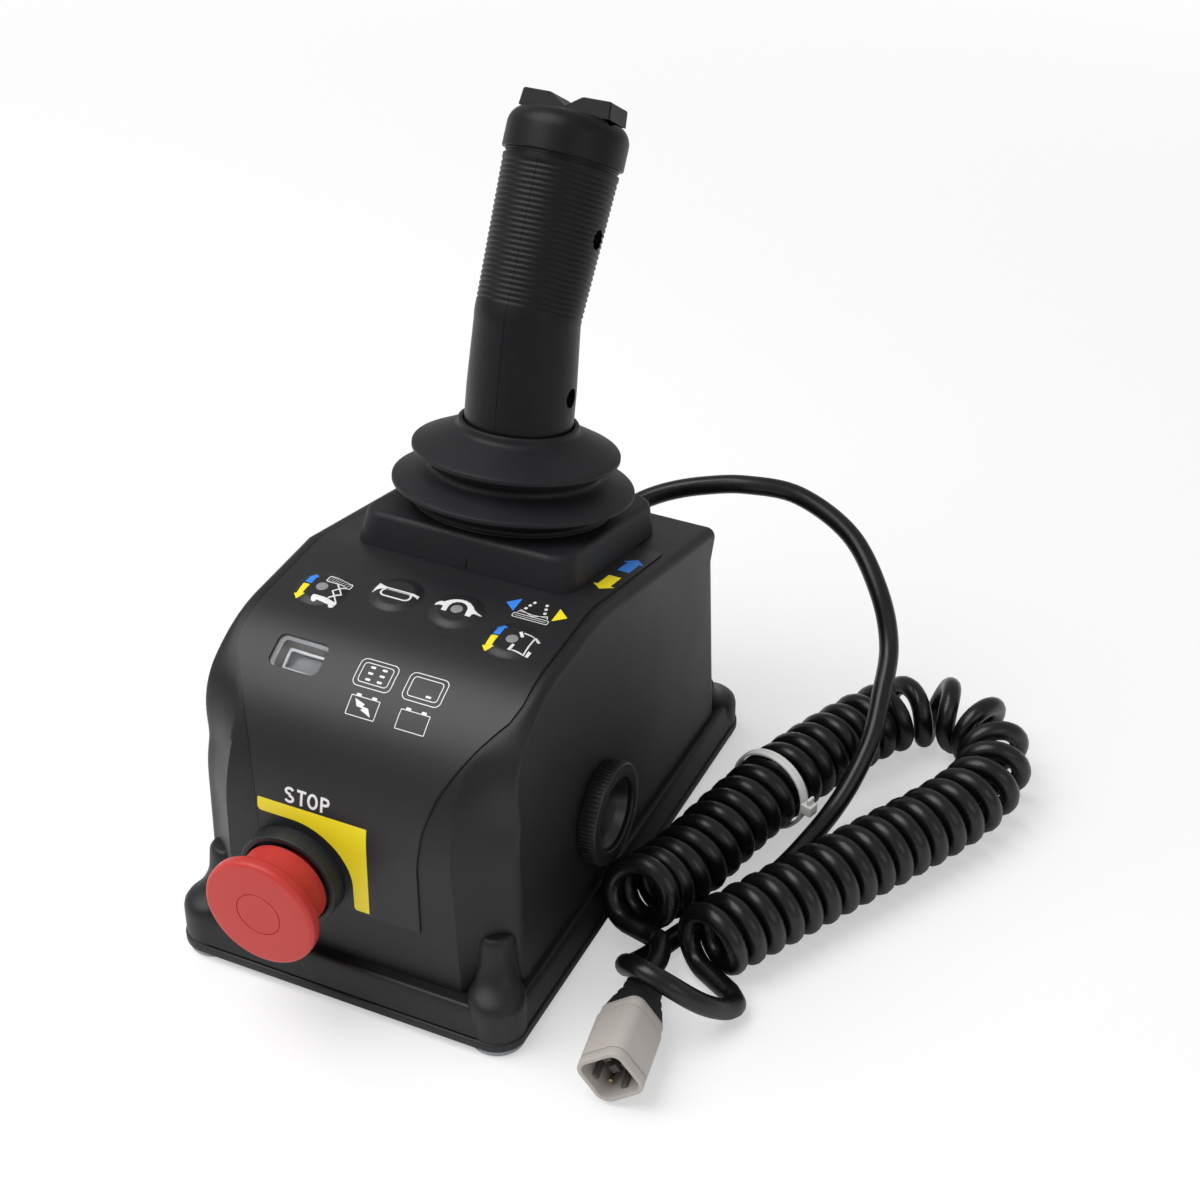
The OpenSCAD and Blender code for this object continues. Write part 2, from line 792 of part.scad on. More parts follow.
module key_lift() color(black) at_key(0) key_cap(true);
module key_horn() color(black) at_key(1) key_cap(false);
module key_slow() color(black) at_key(2) key_cap(true);
module key_drive() color(black) at_key(3) key_cap(true);
module lens_lift() color(grey) at_key(0) key_lens();
module lens_slow() color(grey) at_key(2) key_lens();
module lens_drive() color(grey) at_key(3) key_lens();

module stop_head() color(red) {
  shaft_end = stop_travel + side_gap - sleeve_l;
  neck_end = collar_floor + stop_travel + side_gap;
  head_back = stop_reach - stop_rim_t;
  at_nose(-stop_x, stop_z) difference() {
    rotate_extrude() {
      polygon([[0, shaft_end], [sleeve_shaft_r - fit_gap, shaft_end],
        [sleeve_shaft_r - fit_gap, neck_end], [stop_neck_r, neck_end],
        [stop_neck_r, head_back], [stop_head_r, head_back + stop_edge_r / 2],
        [stop_head_r, stop_reach - stop_edge_r], [stop_head_r - stop_edge_r, stop_reach],
        [0, stop_reach]]);
      translate([stop_head_r - stop_edge_r, stop_reach - stop_edge_r]) intersection() {
        circle(stop_edge_r);
        square(stop_edge_r);
      }
    }
    translate([0, 0, stop_reach - ring_mark_d]) difference() {
      cylinder(over, r = ring_mark_r);
      translate([0, 0, -over]) cylinder(3 * over, r = ring_mark_r - ring_mark_w);
    }
  }
}

module stop_collar() color(black) {
  at_nose(-stop_x, stop_z) rotate_extrude() polygon([[sleeve_shaft_r, -sleeve_l],
    [sleeve_r, -sleeve_l], [sleeve_r, 0], [collar_r, 0], [collar_r, collar_h - over],
    [collar_r - over, collar_h], [collar_r - collar_wall, collar_h],
    [collar_r - collar_wall, collar_floor], [sleeve_shaft_r, collar_floor]]);
}

module stop_nut() color(steel) {
  at_nose(-stop_x, stop_z) translate([0, 0, -wall_t - nut_h]) difference() {
    cylinder(nut_h, r = nut_r);
    translate([0, 0, -over]) cylinder(nut_h + 2 * over, r = sleeve_r + fit_gap);
    for (a = [0:90:270]) rotate(a) translate([nut_r, 0, -over])
      cylinder(nut_h + 2 * over, r = collar_wall);
  }
}

module stop_contacts() color(grey) {
  at_nose(-stop_x, stop_z) translate([0, 0, -sleeve_l - contacts_l]) {
    translate([-contacts_w / 2, -contacts_h / 2, 0]) cube([contacts_w, contacts_h, contacts_l - over]);
    cylinder(contacts_l, r = sleeve_r);
  }
}

module alarm_ring() color(black) {
  at_side(-alarm_y, alarm_z) difference() {
    rotate_extrude() polygon([[alarm_case_r + fit_gap, 0], [alarm_r, 0],
      [alarm_r, alarm_reach - over], [alarm_r - over, alarm_reach],
      [alarm_case_r - alarm_lip, alarm_reach], [alarm_case_r - alarm_lip, alarm_reach - alarm_lip],
      [alarm_case_r + fit_gap, alarm_reach - alarm_lip]]);
    for (i = [0:knurl_n - 1]) rotate(i * 360 / knurl_n)
      translate([alarm_r + knurl_r / 2, 0, -over]) cylinder(alarm_reach, r = knurl_r);
  }
}

module alarm_case() color(black) {
  front = alarm_reach - alarm_lip;
  at_side(-alarm_y, alarm_z) rotate_extrude() polygon([[0, -alarm_depth],
    [alarm_case_r, -alarm_depth], [alarm_case_r, front], [alarm_horn_r, front],
    [alarm_throat_r, front - alarm_horn_h], [alarm_throat_r, -alarm_depth / 2],
    [0, -alarm_depth / 2]]);
}

module alarm_nut() color(black) {
  at_side(-alarm_y, alarm_z) translate([0, 0, -wall_t - alarm_nut_h]) difference() {
    cylinder(alarm_nut_h, r = alarm_case_r + alarm_nut_w);
    translate([0, 0, -over]) cylinder(alarm_nut_h + 2 * over, r = alarm_case_r + fit_gap);
  }
}

module boot_flange() color(rubber) {
  seat = sheet_rise + panel_t;
  at_stick() difference() {
    hull() {
      translate([0, 0, seat]) slab(flange_w, flange_d, flange_r, flange_slice);
      translate([0, 0, flange_h - flange_slice])
        slab(flange_w - 2 * flange_taper, flange_d - 2 * flange_taper, flange_r, flange_slice);
    }
    translate([0, 0, -over]) slab(flange_w - 2 * flange_wall, flange_d - 2 * flange_wall,
      flange_r, flange_h - flange_top + over);
    translate([0, 0, -over]) cylinder(flange_h + 2 * over, r = boot_hole_r);
  }
}

module boot_bellows() color(rubber) {
  t = rubber_t;
  grip = handle_r + side_gap;
  collar = grip + boot_collar_t;
  outer = [[boot_hole_r + 2 * t, flange_h], [neck_low_r + t, flange_h + t],
    [fold_low_r, fold_low_w - fold_edge / 2], [fold_low_r, fold_low_w + fold_edge / 2],
    [neck_up_r + t, mix(fold_low_w, fold_up_w, 1 / 2)], [fold_up_r, fold_up_w - fold_edge / 2],
    [fold_up_r, fold_up_w + fold_edge / 2], [collar, foot_w + t],
    [collar, foot_w + t + boot_collar_h]];
  inner = [[grip, foot_w + t + boot_collar_h], [grip, foot_w],
    [fold_up_r - 2 * t, fold_up_w], [neck_up_r, mix(fold_low_w, fold_up_w, 1 / 2)],
    [fold_low_r - 2 * t, fold_low_w], [neck_low_r, flange_h + t], [neck_low_r, flange_h]];
  at_stick() rotate_extrude() polygon(concat(outer, inner));
}

module joystick_base() color(grey) {
  s = base_plate_w;
  inside = case_w - 2 * case_wall;
  top = -wall_t;
  at_stick() difference() {
    union() {
      translate([-s / 2, -s / 2, top - base_plate_t]) cube([s, s, base_plate_t]);
      translate([-case_w / 2, -case_w / 2, top - case_h]) cube([case_w, case_w, case_h]);
      for (x = [-1, 1], y = [-1, 1])
        translate([x * (s / 2 - mount_in), y * (s / 2 - mount_in), top - mount_screw_l])
          cylinder(mount_screw_l, r = mount_in);
    }
    translate([-inside / 2, -inside / 2, top - case_h + base_plate_t])
      cube([inside, inside, case_h]);
    translate([0, 0, -pivot_drop]) rotate([0, 90, 0])
      cylinder(case_w + 2 * over, r = tilt_pin_r + fit_gap, center = true);
    for (x = [-1, 1], y = [-1, 1])
      translate([x * (s / 2 - mount_in), y * (s / 2 - mount_in), top - mount_screw_l - over])
        cylinder(mount_screw_l + 2 * over, r = mount_screw_r + thread_gap);
  }
}

module joystick_screws() color(steel) {
  at_mounts() {
    cylinder(mount_head_h, r = mount_head_r);
    translate([0, 0, -mount_screw_l]) cylinder(mount_screw_l, r = mount_screw_r);
  }
}

module tilt_pin() color(steel) {
  at_stick() translate([0, 0, -pivot_drop]) rotate([0, 90, 0])
    cylinder(case_w, r = tilt_pin_r, center = true);
}

module joystick_shaft() color(steel) {
  at_stick() difference() {
    translate([0, 0, -pivot_drop]) union() {
      cylinder(shaft_up + pivot_drop, r = shaft_r);
      translate([0, 0, -tail_l]) cylinder(tail_l, r = tail_r);
      rotate([0, 90, 0]) cylinder(hub_w, r = hub_r, center = true);
    }
    translate([0, 0, -pivot_drop]) rotate([0, 90, 0])
      cylinder(hub_w + 2 * over, r = tilt_pin_r + fit_gap, center = true);
    translate([0, 0, handle_screw_w]) rotate([0, 90, 0])
      cylinder(2 * handle_r, r = handle_shank_r + thread_gap, center = true);
  }
}

// The handle's outside, shared by its two halves.
function rib_edge(z) = mix(grip_low_r, grip_r, z / grip_l);
module handle_outside() {
  at_stick() rotate_extrude() polygon([[0, foot_w], [handle_r - foot_chamfer, foot_w],
    [handle_r, foot_w + foot_chamfer], [handle_r, handle_screw_w], [waist_r, bend_w],
    [0, bend_w]]);
  at_grip() sphere(r = waist_r + bend_more);
  at_grip() rotate_extrude() polygon(concat([[0, 0], [grip_low_r, 0]],
    [for (i = [0:rib_n - 1]) let (z = rib_start + i * rib_pitch) each
      [[rib_edge(z), z], [rib_edge(z) - rib_depth, z + rib_pitch / 2]]],
    [[grip_r, grip_l - rib_start], [grip_r, grip_l], [0, grip_l]]));
}

module handle_inside() {
  at_stick() translate([0, 0, foot_w - over])
    cylinder(shaft_up - foot_w + over + fit_gap, r = shaft_r + fit_gap);
  at_stick() translate([0, 0, shaft_up]) cylinder(bend_w - shaft_up, r = waist_r - shell_t);
  at_grip() sphere(r = cap_spigot_r + bend_more);
  at_grip() difference() {
    cylinder(grip_l + over, r = cap_spigot_r + fit_gap);
    translate([0, 0, grip_screw_d]) rotate([0, 90, 0])
      cylinder(2 * grip_r, r = handle_boss_r, center = true);
  }
  at_grip() translate([0, trigger_pin_out, trigger_pin_d]) rotate([0, 90, 0])
    cylinder(trigger_w + 2 * trigger_pin_over, r = trigger_pin_r + fit_gap, center = true);
  at_grip() translate([-trigger_w / 2 - side_gap, 0, trigger_pin_d - trigger_l - side_gap - over])
    cube([trigger_w + 2 * side_gap, 2 * grip_r,
      trigger_l + trigger_eye_r + 2 * side_gap + over]);
}

module handle_screw_places() {
  at_stick() translate([0, 0, handle_screw_w]) rotate([0, 90, 0]) children();
  at_grip() translate([0, 0, grip_screw_d]) rotate([0, 90, 0]) children();
}

module handle_half(side) {
  span = 4 * base_d;
  difference() {
    handle_outside();
    handle_inside();
    handle_screw_places() translate([0, 0, -handle_shank_l + handle_head_x - fit_gap])
      cylinder(handle_shank_l + 2 * fit_gap, r = handle_shank_r + thread_gap);
    handle_screw_places() translate([0, 0, handle_head_x - fit_gap])
      cylinder(2 * grip_r, r = handle_head_r + fit_gap);
    translate([side > 0 ? -span : 0, -span / 2, -span / 2]) cube(span);
  }
}

module handle_left() color(black) handle_half(-1);
module handle_right() color(black) handle_half(1);

module handle_screws() color(steel) {
  handle_screw_places() translate([0, 0, handle_head_x]) difference() {
    union() {
      cylinder(handle_head_h, r = handle_head_r);
      translate([0, 0, -handle_shank_l]) cylinder(handle_shank_l, r = handle_shank_r);
    }
    translate([0, 0, handle_head_h - socket_h]) cylinder(socket_h + over, r = socket_r, $fn = 6);
  }
}

module handle_cap() color(black) {
  slot_d = rocker_d + 2 * side_gap;
  floor_d = cap_h - rocker_drop - rocker_sink;
  at_grip() translate([0, 0, grip_l]) difference() {
    rotate_extrude() {
      polygon([[0, -cap_spigot_h], [cap_spigot_r, -cap_spigot_h], [cap_spigot_r, 0],
        [grip_r - groove_d, 0], [grip_r - groove_d, groove_w],
        [grip_r - groove_d / 2, groove_w], [grip_r - groove_d / 2, 2 * groove_w],
        [cap_r, 2 * groove_w], [cap_r, cap_h - cap_shoulder_r],
        [cap_r - cap_shoulder_r, cap_h], [0, cap_h]]);
      translate([cap_r - cap_shoulder_r, cap_h - cap_shoulder_r]) intersection() {
        circle(cap_shoulder_r);
        square(cap_shoulder_r);
      }
    }
    translate([-cap_r - over, -slot_d / 2, floor_d])
      cube([2 * cap_r + 2 * over, slot_d, cap_h]);
    translate([0, 0, cap_h - rocker_axis]) rotate([90, 0, 0])
      cylinder(slot_d, r = hub_rocker_r + side_gap, center = true);
    translate([0, 0, cap_h - rocker_axis]) rotate([90, 0, 0])
      cylinder(slot_d + 4 * over, r = rocker_pin_r + fit_gap, center = true);
  }
}

module rocker_pin() color(steel) {
  at_grip() translate([0, 0, grip_l + cap_h - rocker_axis]) rotate([90, 0, 0])
    cylinder(rocker_d + 4 * over, r = rocker_pin_r, center = true);
}

// Two paddles with a notch between them, on a hub that turns on its pin.
module steer_rocker() color(black) {
  low = -rocker_sink;
  half = rocker_w / 2;
  at_grip() translate([0, 0, grip_l + cap_h]) difference() {
    union() {
      rotate([90, 0, 0]) linear_extrude(rocker_d, center = true)
        polygon([[-half, low], [-half + rocker_flare, rocker_h], [-rocker_notch_w, rocker_h],
          [0, rocker_h - rocker_notch_h], [rocker_notch_w, rocker_h],
          [half - rocker_flare, rocker_h], [half, low]]);
      translate([0, 0, -rocker_axis]) rotate([90, 0, 0])
        cylinder(rocker_d, r = hub_rocker_r, center = true);
      translate([-hub_rocker_r / 2, -rocker_d / 2, -rocker_axis])
        cube([hub_rocker_r, rocker_d, rocker_axis + low + over / 2]);
    }
    translate([0, 0, -rocker_axis]) rotate([90, 0, 0])
      cylinder(rocker_d + 2 * over, r = rocker_pin_r + fit_gap, center = true);
  }
}

module steer_switches() color(grey) {
  at_grip() for (x = [-1, 1])
    translate([x * (steer_switch_w / 2 + side_gap) - steer_switch_w / 2, -steer_switch_d / 2,
      grip_l - cap_spigot_h - steer_switch_h])
      cube([steer_switch_w, steer_switch_d, steer_switch_h]);
}

module trigger_pin() color(steel) {
  at_grip() translate([0, trigger_pin_out, trigger_pin_d]) rotate([0, 90, 0])
    cylinder(trigger_w + 2 * trigger_pin_over - over, r = trigger_pin_r, center = true);
}

module enable_trigger() color(black) {
  deep = trigger_out - trigger_thick;
  at_grip() difference() {
    rotate([0, -90, 0]) linear_extrude(trigger_w, center = true)
      polygon([[trigger_pin_d - trigger_l, deep], [trigger_pin_d - trigger_l, trigger_out - over],
        [trigger_pin_d - trigger_l + over, trigger_out],
        [trigger_pin_d - trigger_l / 2, trigger_out - over],
        [trigger_pin_d + trigger_eye_r, trigger_pin_out + trigger_eye_r],
        [trigger_pin_d + trigger_eye_r, trigger_pin_out - trigger_eye_r / 2],
        [trigger_pin_d - trigger_eye_r, trigger_pin_out - trigger_eye_r / 2]]);
    translate([0, trigger_pin_out, trigger_pin_d]) rotate([0, 90, 0])
      cylinder(trigger_w + 2 * over, r = trigger_pin_r + fit_gap, center = true);
  }
}

module cord_gland() color(black) {
  thread_l = wall_t + gland_nut_h + over;
  at_back(gland_x, gland_z) {
    translate([0, 0, -thread_l]) cylinder(thread_l, r = gland_thread_r);
    cylinder(gland_hex_h, r = gland_hex_r, $fn = 6);
    translate([0, 0, gland_hex_h]) rotate_extrude() polygon([[0, 0], [gland_dome_r, 0],
      [gland_dome_r, (gland_h - gland_hex_h) / 2], [gland_tip_r, gland_h - gland_hex_h],
      [0, gland_h - gland_hex_h]]);
  }
}

module gland_nut() color(black) {
  at_back(gland_x, gland_z) translate([0, 0, -wall_t - gland_nut_h]) difference() {
    cylinder(gland_nut_h, r = gland_hex_r, $fn = 6);
    translate([0, 0, -over]) cylinder(gland_nut_h + 2 * over, r = gland_thread_r + fit_gap);
  }
}

// Smooth line through a route's points.
function ease(a, b, c, d, t) = (2 * b + (c - a) * t + (2 * a - 5 * b + 4 * c - d) * t * t
  + (3 * b - a - 3 * c + d) * t * t * t) / 2;
function smooth_line(p, n) = let (m = len(p) - 1) [
  for (i = [0:m - 1], k = [0:n - 1]) ease(i > 0 ? p[i - 1] : 2 * p[0] - p[1], p[i], p[i + 1],
    i < m - 1 ? p[i + 2] : 2 * p[m] - p[m - 1], k / n),
  p[m]];
function line_dir(p, i) = unit(p[min(i + 1, len(p) - 1)] - p[max(i - 1, 0)]);
function running(v) = [for (i = 0, s = 0; i <= len(v); s = s + (i < len(v) ? v[i] : 0), i = i + 1) s];

// The curls turn about the route's line, wider apart where it bends.
coil_line = smooth_line(coil_route, coil_steps);
coil_n = len(coil_line);
coil_dirs = [for (i = [0:coil_n - 1]) line_dir(coil_line, i)];
coil_gaps = [for (i = [0:coil_n - 2]) norm(coil_line[i + 1] - coil_line[i])];
coil_bends = [for (i = [0:coil_n - 1]) let (a = max(i - 1, 0), b = min(i + 1, coil_n - 1))
  norm(coil_dirs[b] - coil_dirs[a]) / norm(coil_line[b] - coil_line[a])];
coil_sums = running(coil_bends);
coil_even = [for (i = [0:coil_n - 1]) let (a = max(i - smooth_span, 0),
  b = min(i + smooth_span, coil_n - 1)) (coil_sums[b + 1] - coil_sums[a]) / (b + 1 - a)];
coil_pitch = [for (k = coil_even) max(turn_pitch, turn_inside / (1 - curl_r * k))];
coil_raw = running([for (i = [0:coil_n - 2])
  coil_gaps[i] * (1 / coil_pitch[i] + 1 / coil_pitch[i + 1]) / 2]);
coil_turn = [for (v = coil_raw) v * coil_turns / coil_raw[coil_n - 1]];
function coil_place(i) = [for (k = [0:2]) lookup(i / coil_rings,
  [for (j = [0:coil_n - 1]) [coil_turn[j], coil_line[j][k]]])];
function coil_dir(i) = unit([for (k = [0:2]) lookup(i / coil_rings,
  [for (j = [0:coil_n - 1]) [coil_turn[j], coil_dirs[j][k]]])]);
function coil_side(d) = unit(cross([0, 0, 1], d));
function curl_point(i) = let (d = coil_dir(i), n = coil_side(d),
  a = coil_start_turn + 360 * i / coil_rings)
  coil_place(i) + curl_r * (cos(a) * n + sin(a) * cross(d, n));
curls = [for (i = [0:coil_turns * coil_rings]) curl_point(i)];
curl_last = len(curls) - 1;
coil_in = curls[0] - straight_l * coil_side(coil_dirs[0]);
coil_out = curls[curl_last] + straight_l * coil_side(coil_dirs[coil_n - 1]);
coil_path = concat([coil_in], curls, [coil_out]);
curl_gap = min([for (i = [0:curl_last - coil_rings / 2]) each
  [for (j = [i + coil_rings / 2:curl_last]) norm(curls[j] - curls[i])]]) - cord_d;
echo(least_gap_of_the_coil_to_itself_mm = curl_gap);

gland_out = [gland_x, back_y + gland_h, base_z + gland_z];
lead_end = coil_in - straight_l * coil_side(coil_dirs[0]);
lead_path = concat([gland_out], smooth_line(concat(lead_route, [lead_end]), lead_steps), [coil_in]);
plug_back = [-sin(plug_yaw), cos(plug_yaw), 0];
plug_tail = plug_place + (plug_l + plug_boot_l) * plug_back;
tail_start = coil_out + straight_l / 2 * coil_side(coil_dirs[coil_n - 1]);
tail_path = concat([coil_out],
  smooth_line(concat([tail_start], tail_route, [plug_tail + straight_l * plug_back]), tail_steps),
  [plug_tail]);

// A tube about a line of points, without twist from ring to ring.
function carry(dirs, first) = [for (i = 0, n = first; i < len(dirs); i = i + 1,
  n = i < len(dirs) ? unit(n - (n * dirs[i]) * dirs[i]) : n) n];
module tube(p, r, sides) {
  n = len(p);
  dirs = [for (i = [0:n - 1]) line_dir(p, i)];
  tips = carry(dirs, unit(cross(dirs[0], abs(dirs[0][2]) < 0.7 ? [0, 0, 1] : [1, 0, 0])));
  points = [for (i = [0:n - 1], k = [0:sides - 1]) let (a = 360 * k / sides)
    p[i] + r * (cos(a) * tips[i] + sin(a) * cross(dirs[i], tips[i]))];
  faces = concat(
    [for (i = [0:n - 2], k = [0:sides - 1]) each
      let (a = i * sides + k, b = i * sides + (k + 1) % sides)
        [[a, a + sides, b + sides], [a, b + sides, b]]],
    [[for (k = [0:sides - 1]) k]],
    [[for (k = [sides - 1:-1:0]) (n - 1) * sides + k]]);
  polyhedron(points, faces, convexity = 10);
}

module cord_lead() color(rubber) tube(lead_path, cord_d / 2, lead_sides);
module cord_coil() color(rubber) tube(coil_path, cord_d / 2, coil_sides);
module cord_tail() color(rubber) tube(tail_path, cord_d / 2, lead_sides);

module cord_tie() color(white) {
  i = round(tie_at * (coil_n - 1));
  p = coil_line[i];
  d = coil_dirs[i];
  r = curl_r + cord_d / 2 + tie_gap;
  translate(p) rotate([0, acos(d[2]), atan2(d[1], d[0])]) {
    difference() {
      cylinder(tie_w, r = r + tie_t, center = true);
      cylinder(tie_w + 2 * over, r = r, center = true);
    }
    rotate(90) translate([r + tie_t / 2, -tie_head / 2, -tie_head / 2])
      cube([tie_head, tie_head, tie_head]);
  }
}

module at_plug() {
  translate(plug_place) rotate([90, 0, plug_yaw]) rotate(plug_roll) children();
}

module plug_boot() color(rubber) {
  at_plug() hull() {
    translate([0, 0, -plug_l - plug_boot_slice])
      slab(plug_boot_w, plug_boot_w, plug_corner_r, plug_boot_slice);
    translate([0, 0, -plug_l - plug_boot_l]) cylinder(plug_boot_slice, r = plug_boot_r, $fn = 32);
  }
}

module plug_body() color(grey) {
  inside = plug_w - 2 * plug_wall;
  at_plug() difference() {
    translate([0, 0, -plug_l]) slab(plug_w, plug_w, plug_corner_r, plug_l);
    translate([0, 0, -plug_deep]) slab(inside, inside, plug_corner_r - plug_wall, plug_deep + over);
    translate([0, 0, -plug_line_at - plug_line_w]) difference() {
      slab(2 * plug_w, 2 * plug_w, plug_corner_r, plug_line_w);
      translate([0, 0, -over]) slab(plug_w - 2 * plug_line_d, plug_w - 2 * plug_line_d,
        plug_corner_r - plug_line_d, plug_line_w + 2 * over);
    }
  }
}

module plug_wedge() color(grey) {
  at_plug() translate([0, 0, -plug_deep]) difference() {
    translate([-wedge_w / 2, -wedge_w / 2, 0]) cube([wedge_w, wedge_w, wedge_l]);
    for (a = [0, 90]) rotate(a) translate([-wedge_w, -wedge_slot / 2, wedge_l / 2])
      cube([2 * wedge_w, wedge_slot, wedge_l]);
  }
}

module plug_pins() color(steel) {
  at_plug() for (i = [0:pin_n - 1]) rotate(45 + i * 360 / pin_n)
    translate([pin_ring_r + pin_r * 2, 0, -plug_deep]) cylinder(pin_l, r = pin_r);
}

housing_shell();
base_plate();
base_seal();
base_screws();
base_feet();
panel_sheet();
window_lens();
display_module();
circuit_board();
board_screws();
key_switches();
key_lift();
key_horn();
key_slow();
key_drive();
lens_lift();
lens_slow();
lens_drive();
stop_head();
stop_collar();
stop_nut();
stop_contacts();
alarm_ring();
alarm_case();
alarm_nut();
boot_flange();
boot_bellows();
joystick_base();
joystick_screws();
tilt_pin();
joystick_shaft();
handle_left();
handle_right();
handle_screws();
handle_cap();
rocker_pin();
steer_rocker();
steer_switches();
trigger_pin();
enable_trigger();
cord_gland();
gland_nut();
cord_lead();
cord_coil();
cord_tail();
cord_tie();
plug_boot();
plug_body();
plug_wedge();
plug_pins();
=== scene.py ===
"""Looks of a scissor lift's control box: a black moulded housing with a handle in a rubber
boot, a key panel, a red stop button, an alarm and a curly cord that ends in its plug."""
import json
import math

import bmesh
import bpy
import numpy as np
from mathutils import Matrix, Vector
from mathutils.geometry import tessellate_polygon

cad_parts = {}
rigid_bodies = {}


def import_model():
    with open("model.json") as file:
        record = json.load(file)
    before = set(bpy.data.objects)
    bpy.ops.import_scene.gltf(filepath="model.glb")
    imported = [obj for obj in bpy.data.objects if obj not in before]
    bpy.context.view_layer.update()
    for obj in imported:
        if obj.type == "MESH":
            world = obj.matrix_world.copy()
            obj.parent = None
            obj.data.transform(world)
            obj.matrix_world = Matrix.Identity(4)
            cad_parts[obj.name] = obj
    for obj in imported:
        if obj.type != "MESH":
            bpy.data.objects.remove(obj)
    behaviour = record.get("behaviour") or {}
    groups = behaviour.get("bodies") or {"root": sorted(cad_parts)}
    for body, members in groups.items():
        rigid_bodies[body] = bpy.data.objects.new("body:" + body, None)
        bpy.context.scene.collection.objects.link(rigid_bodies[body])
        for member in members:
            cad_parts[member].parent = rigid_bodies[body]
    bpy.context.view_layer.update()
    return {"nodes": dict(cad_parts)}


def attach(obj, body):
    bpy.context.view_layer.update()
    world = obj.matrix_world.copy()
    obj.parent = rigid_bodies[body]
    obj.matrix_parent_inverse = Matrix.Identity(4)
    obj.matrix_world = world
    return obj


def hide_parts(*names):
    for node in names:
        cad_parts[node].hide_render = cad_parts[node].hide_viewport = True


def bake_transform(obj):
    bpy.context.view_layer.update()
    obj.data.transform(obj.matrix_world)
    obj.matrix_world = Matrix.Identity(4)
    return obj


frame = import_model()

# Camera
# The photograph looks down on the box from its front right corner, from about 0.78 m away.
# Fitted from the base's edges, the stop button and the handle.
def in_scene(name, data):
    """A new object in the scene that shows that data."""
    made = bpy.data.objects.new(name, data)
    bpy.context.scene.collection.objects.link(made)
    return made


eye = bpy.data.cameras.new("photo camera")
eye.sensor_width = 36
eye.lens = 65.73
eye.clip_start, eye.clip_end = 0.05, 20
eye_stand = in_scene("photo camera", eye)
eye_stand.location = (0.287215, -0.514769, 0.50408)
eye_stand.rotation_euler = (math.radians(55.32), 0, math.radians(25))
bpy.context.scene.camera = eye_stand

# Curly cord
# One 7 mm polyurethane cord: a straight lead from the gland, 38 curls wound on a mandrel and
# set by heat, and a short tail into the plug. Satin black, with faint marks of the winding.
CORD_WIDE = 7.0
CURL_R = 10.0
CURLS, CURL_STEPS = 38, 28
CURL_PITCH, LEAST_PITCH = 8.0, 7.9
COIL_STEPS, LEAD_STEPS, BEND_SPAN = 24, 9, 12
GLAND_END = (9, 97, 74)
PLUG_AT = Vector((96, -97.8, 12.2))
PLUG_YAW, PLUG_ROLL = 9, 35
PLUG_LONG, PLUG_BOOT_LONG = 26.75, 13.5
COIL_ROUTE = [(100, -35, 14), (113, -11, 14), (126, 13, 14), (139, 37, 14), (151, 60, 14),
              (157.5, 78, 14), (157.5, 94, 14), (150, 108, 14), (137, 114.5, 14),
              (123, 111.5, 14), (112.5, 100, 14), (104, 83, 14), (96.5, 63, 14.6),
              (90.5, 42, 15.6), (85.5, 21, 15.8), (81, 0, 15.6), (77, -16, 17),
              (73.5, -31, 21.4)]
LEAD_ROUTE = [(9, 104, 74), (12.5, 110.5, 76), (21, 116.5, 79), (33, 121, 82), (48, 125, 84),
              (67, 129, 82), (89, 124, 74), (105, 112, 61), (113.5, 101, 47), (116.5, 86, 36),
              (118, 73, 27), (116.5, 60, 18), (113.5, 48, 11), (110, 33, 7.5), (106, 19, 5),
              (101, 5, 4.2), (93.5, -10, 4.1), (87, -24, 4.1), (82.5, -36, 4.1),
              (79.5, -46.5, 7), (82.5, -56, 17), (90, -63, 24.5), (100, -64.5, 23),
              (109, -60, 15), (114, -53, 8), (116, -46.5, 4.6)]
TAIL_ROUTE = [(86, -37.5, 12), (88.5, -44, 12.2)]


def curved(a, b, c, d, t):
    """The share t of the way from b to c on a smooth curve that comes from a and goes on to d."""
    return (2 * b + (c - a) * t + (2 * a - 5 * b + 4 * c - d) * t * t
            + (3 * b - a - 3 * c + d) * t ** 3) / 2


def smooth_line(route, steps):
    """A smooth line through a route's points."""
    p = np.array(route, float)
    p = np.vstack([2 * p[0] - p[1], p, 2 * p[-1] - p[-2]])
    line = []
    for a, b, c, d in zip(p, p[1:], p[2:], p[3:]):
        line += [curved(a, b, c, d, t) for t in np.arange(steps) / steps]
    return np.array(line + [p[-2]])


def directions(line):
    """The unit way ahead at each point of a line."""
    ahead = np.vstack([line[1:], line[-1:]]) - np.vstack([line[:1], line[:-1]])
    return ahead / np.linalg.norm(ahead, axis=1)[:, None]


def beside(way):
    """The level unit way to the left of another."""
    side = np.cross([0, 0, 1], way)
    return side / np.linalg.norm(side)


coil_line = smooth_line(COIL_ROUTE, COIL_STEPS)
coil_ways = directions(coil_line)
coil_last = len(coil_line) - 1
bends = []
for i in range(coil_last + 1):
    a, b = max(i - 1, 0), min(i + 1, coil_last)
    bends.append(np.linalg.norm(coil_ways[b] - coil_ways[a])
                 / np.linalg.norm(coil_line[b] - coil_line[a]))
bends = np.array(bends)
even_bends = np.array([bends[max(i - BEND_SPAN, 0):min(i + BEND_SPAN, coil_last) + 1].mean()
                       for i in range(coil_last + 1)])
pitches = np.maximum(LEAST_PITCH, CURL_PITCH / (1 - CURL_R * even_bends))
coil_parts = np.linalg.norm(np.diff(coil_line, axis=0), axis=1)
turned = np.concatenate([[0], np.cumsum(coil_parts * (1 / pitches[:-1] + 1 / pitches[1:]) / 2)])
turned *= CURLS / turned[-1]


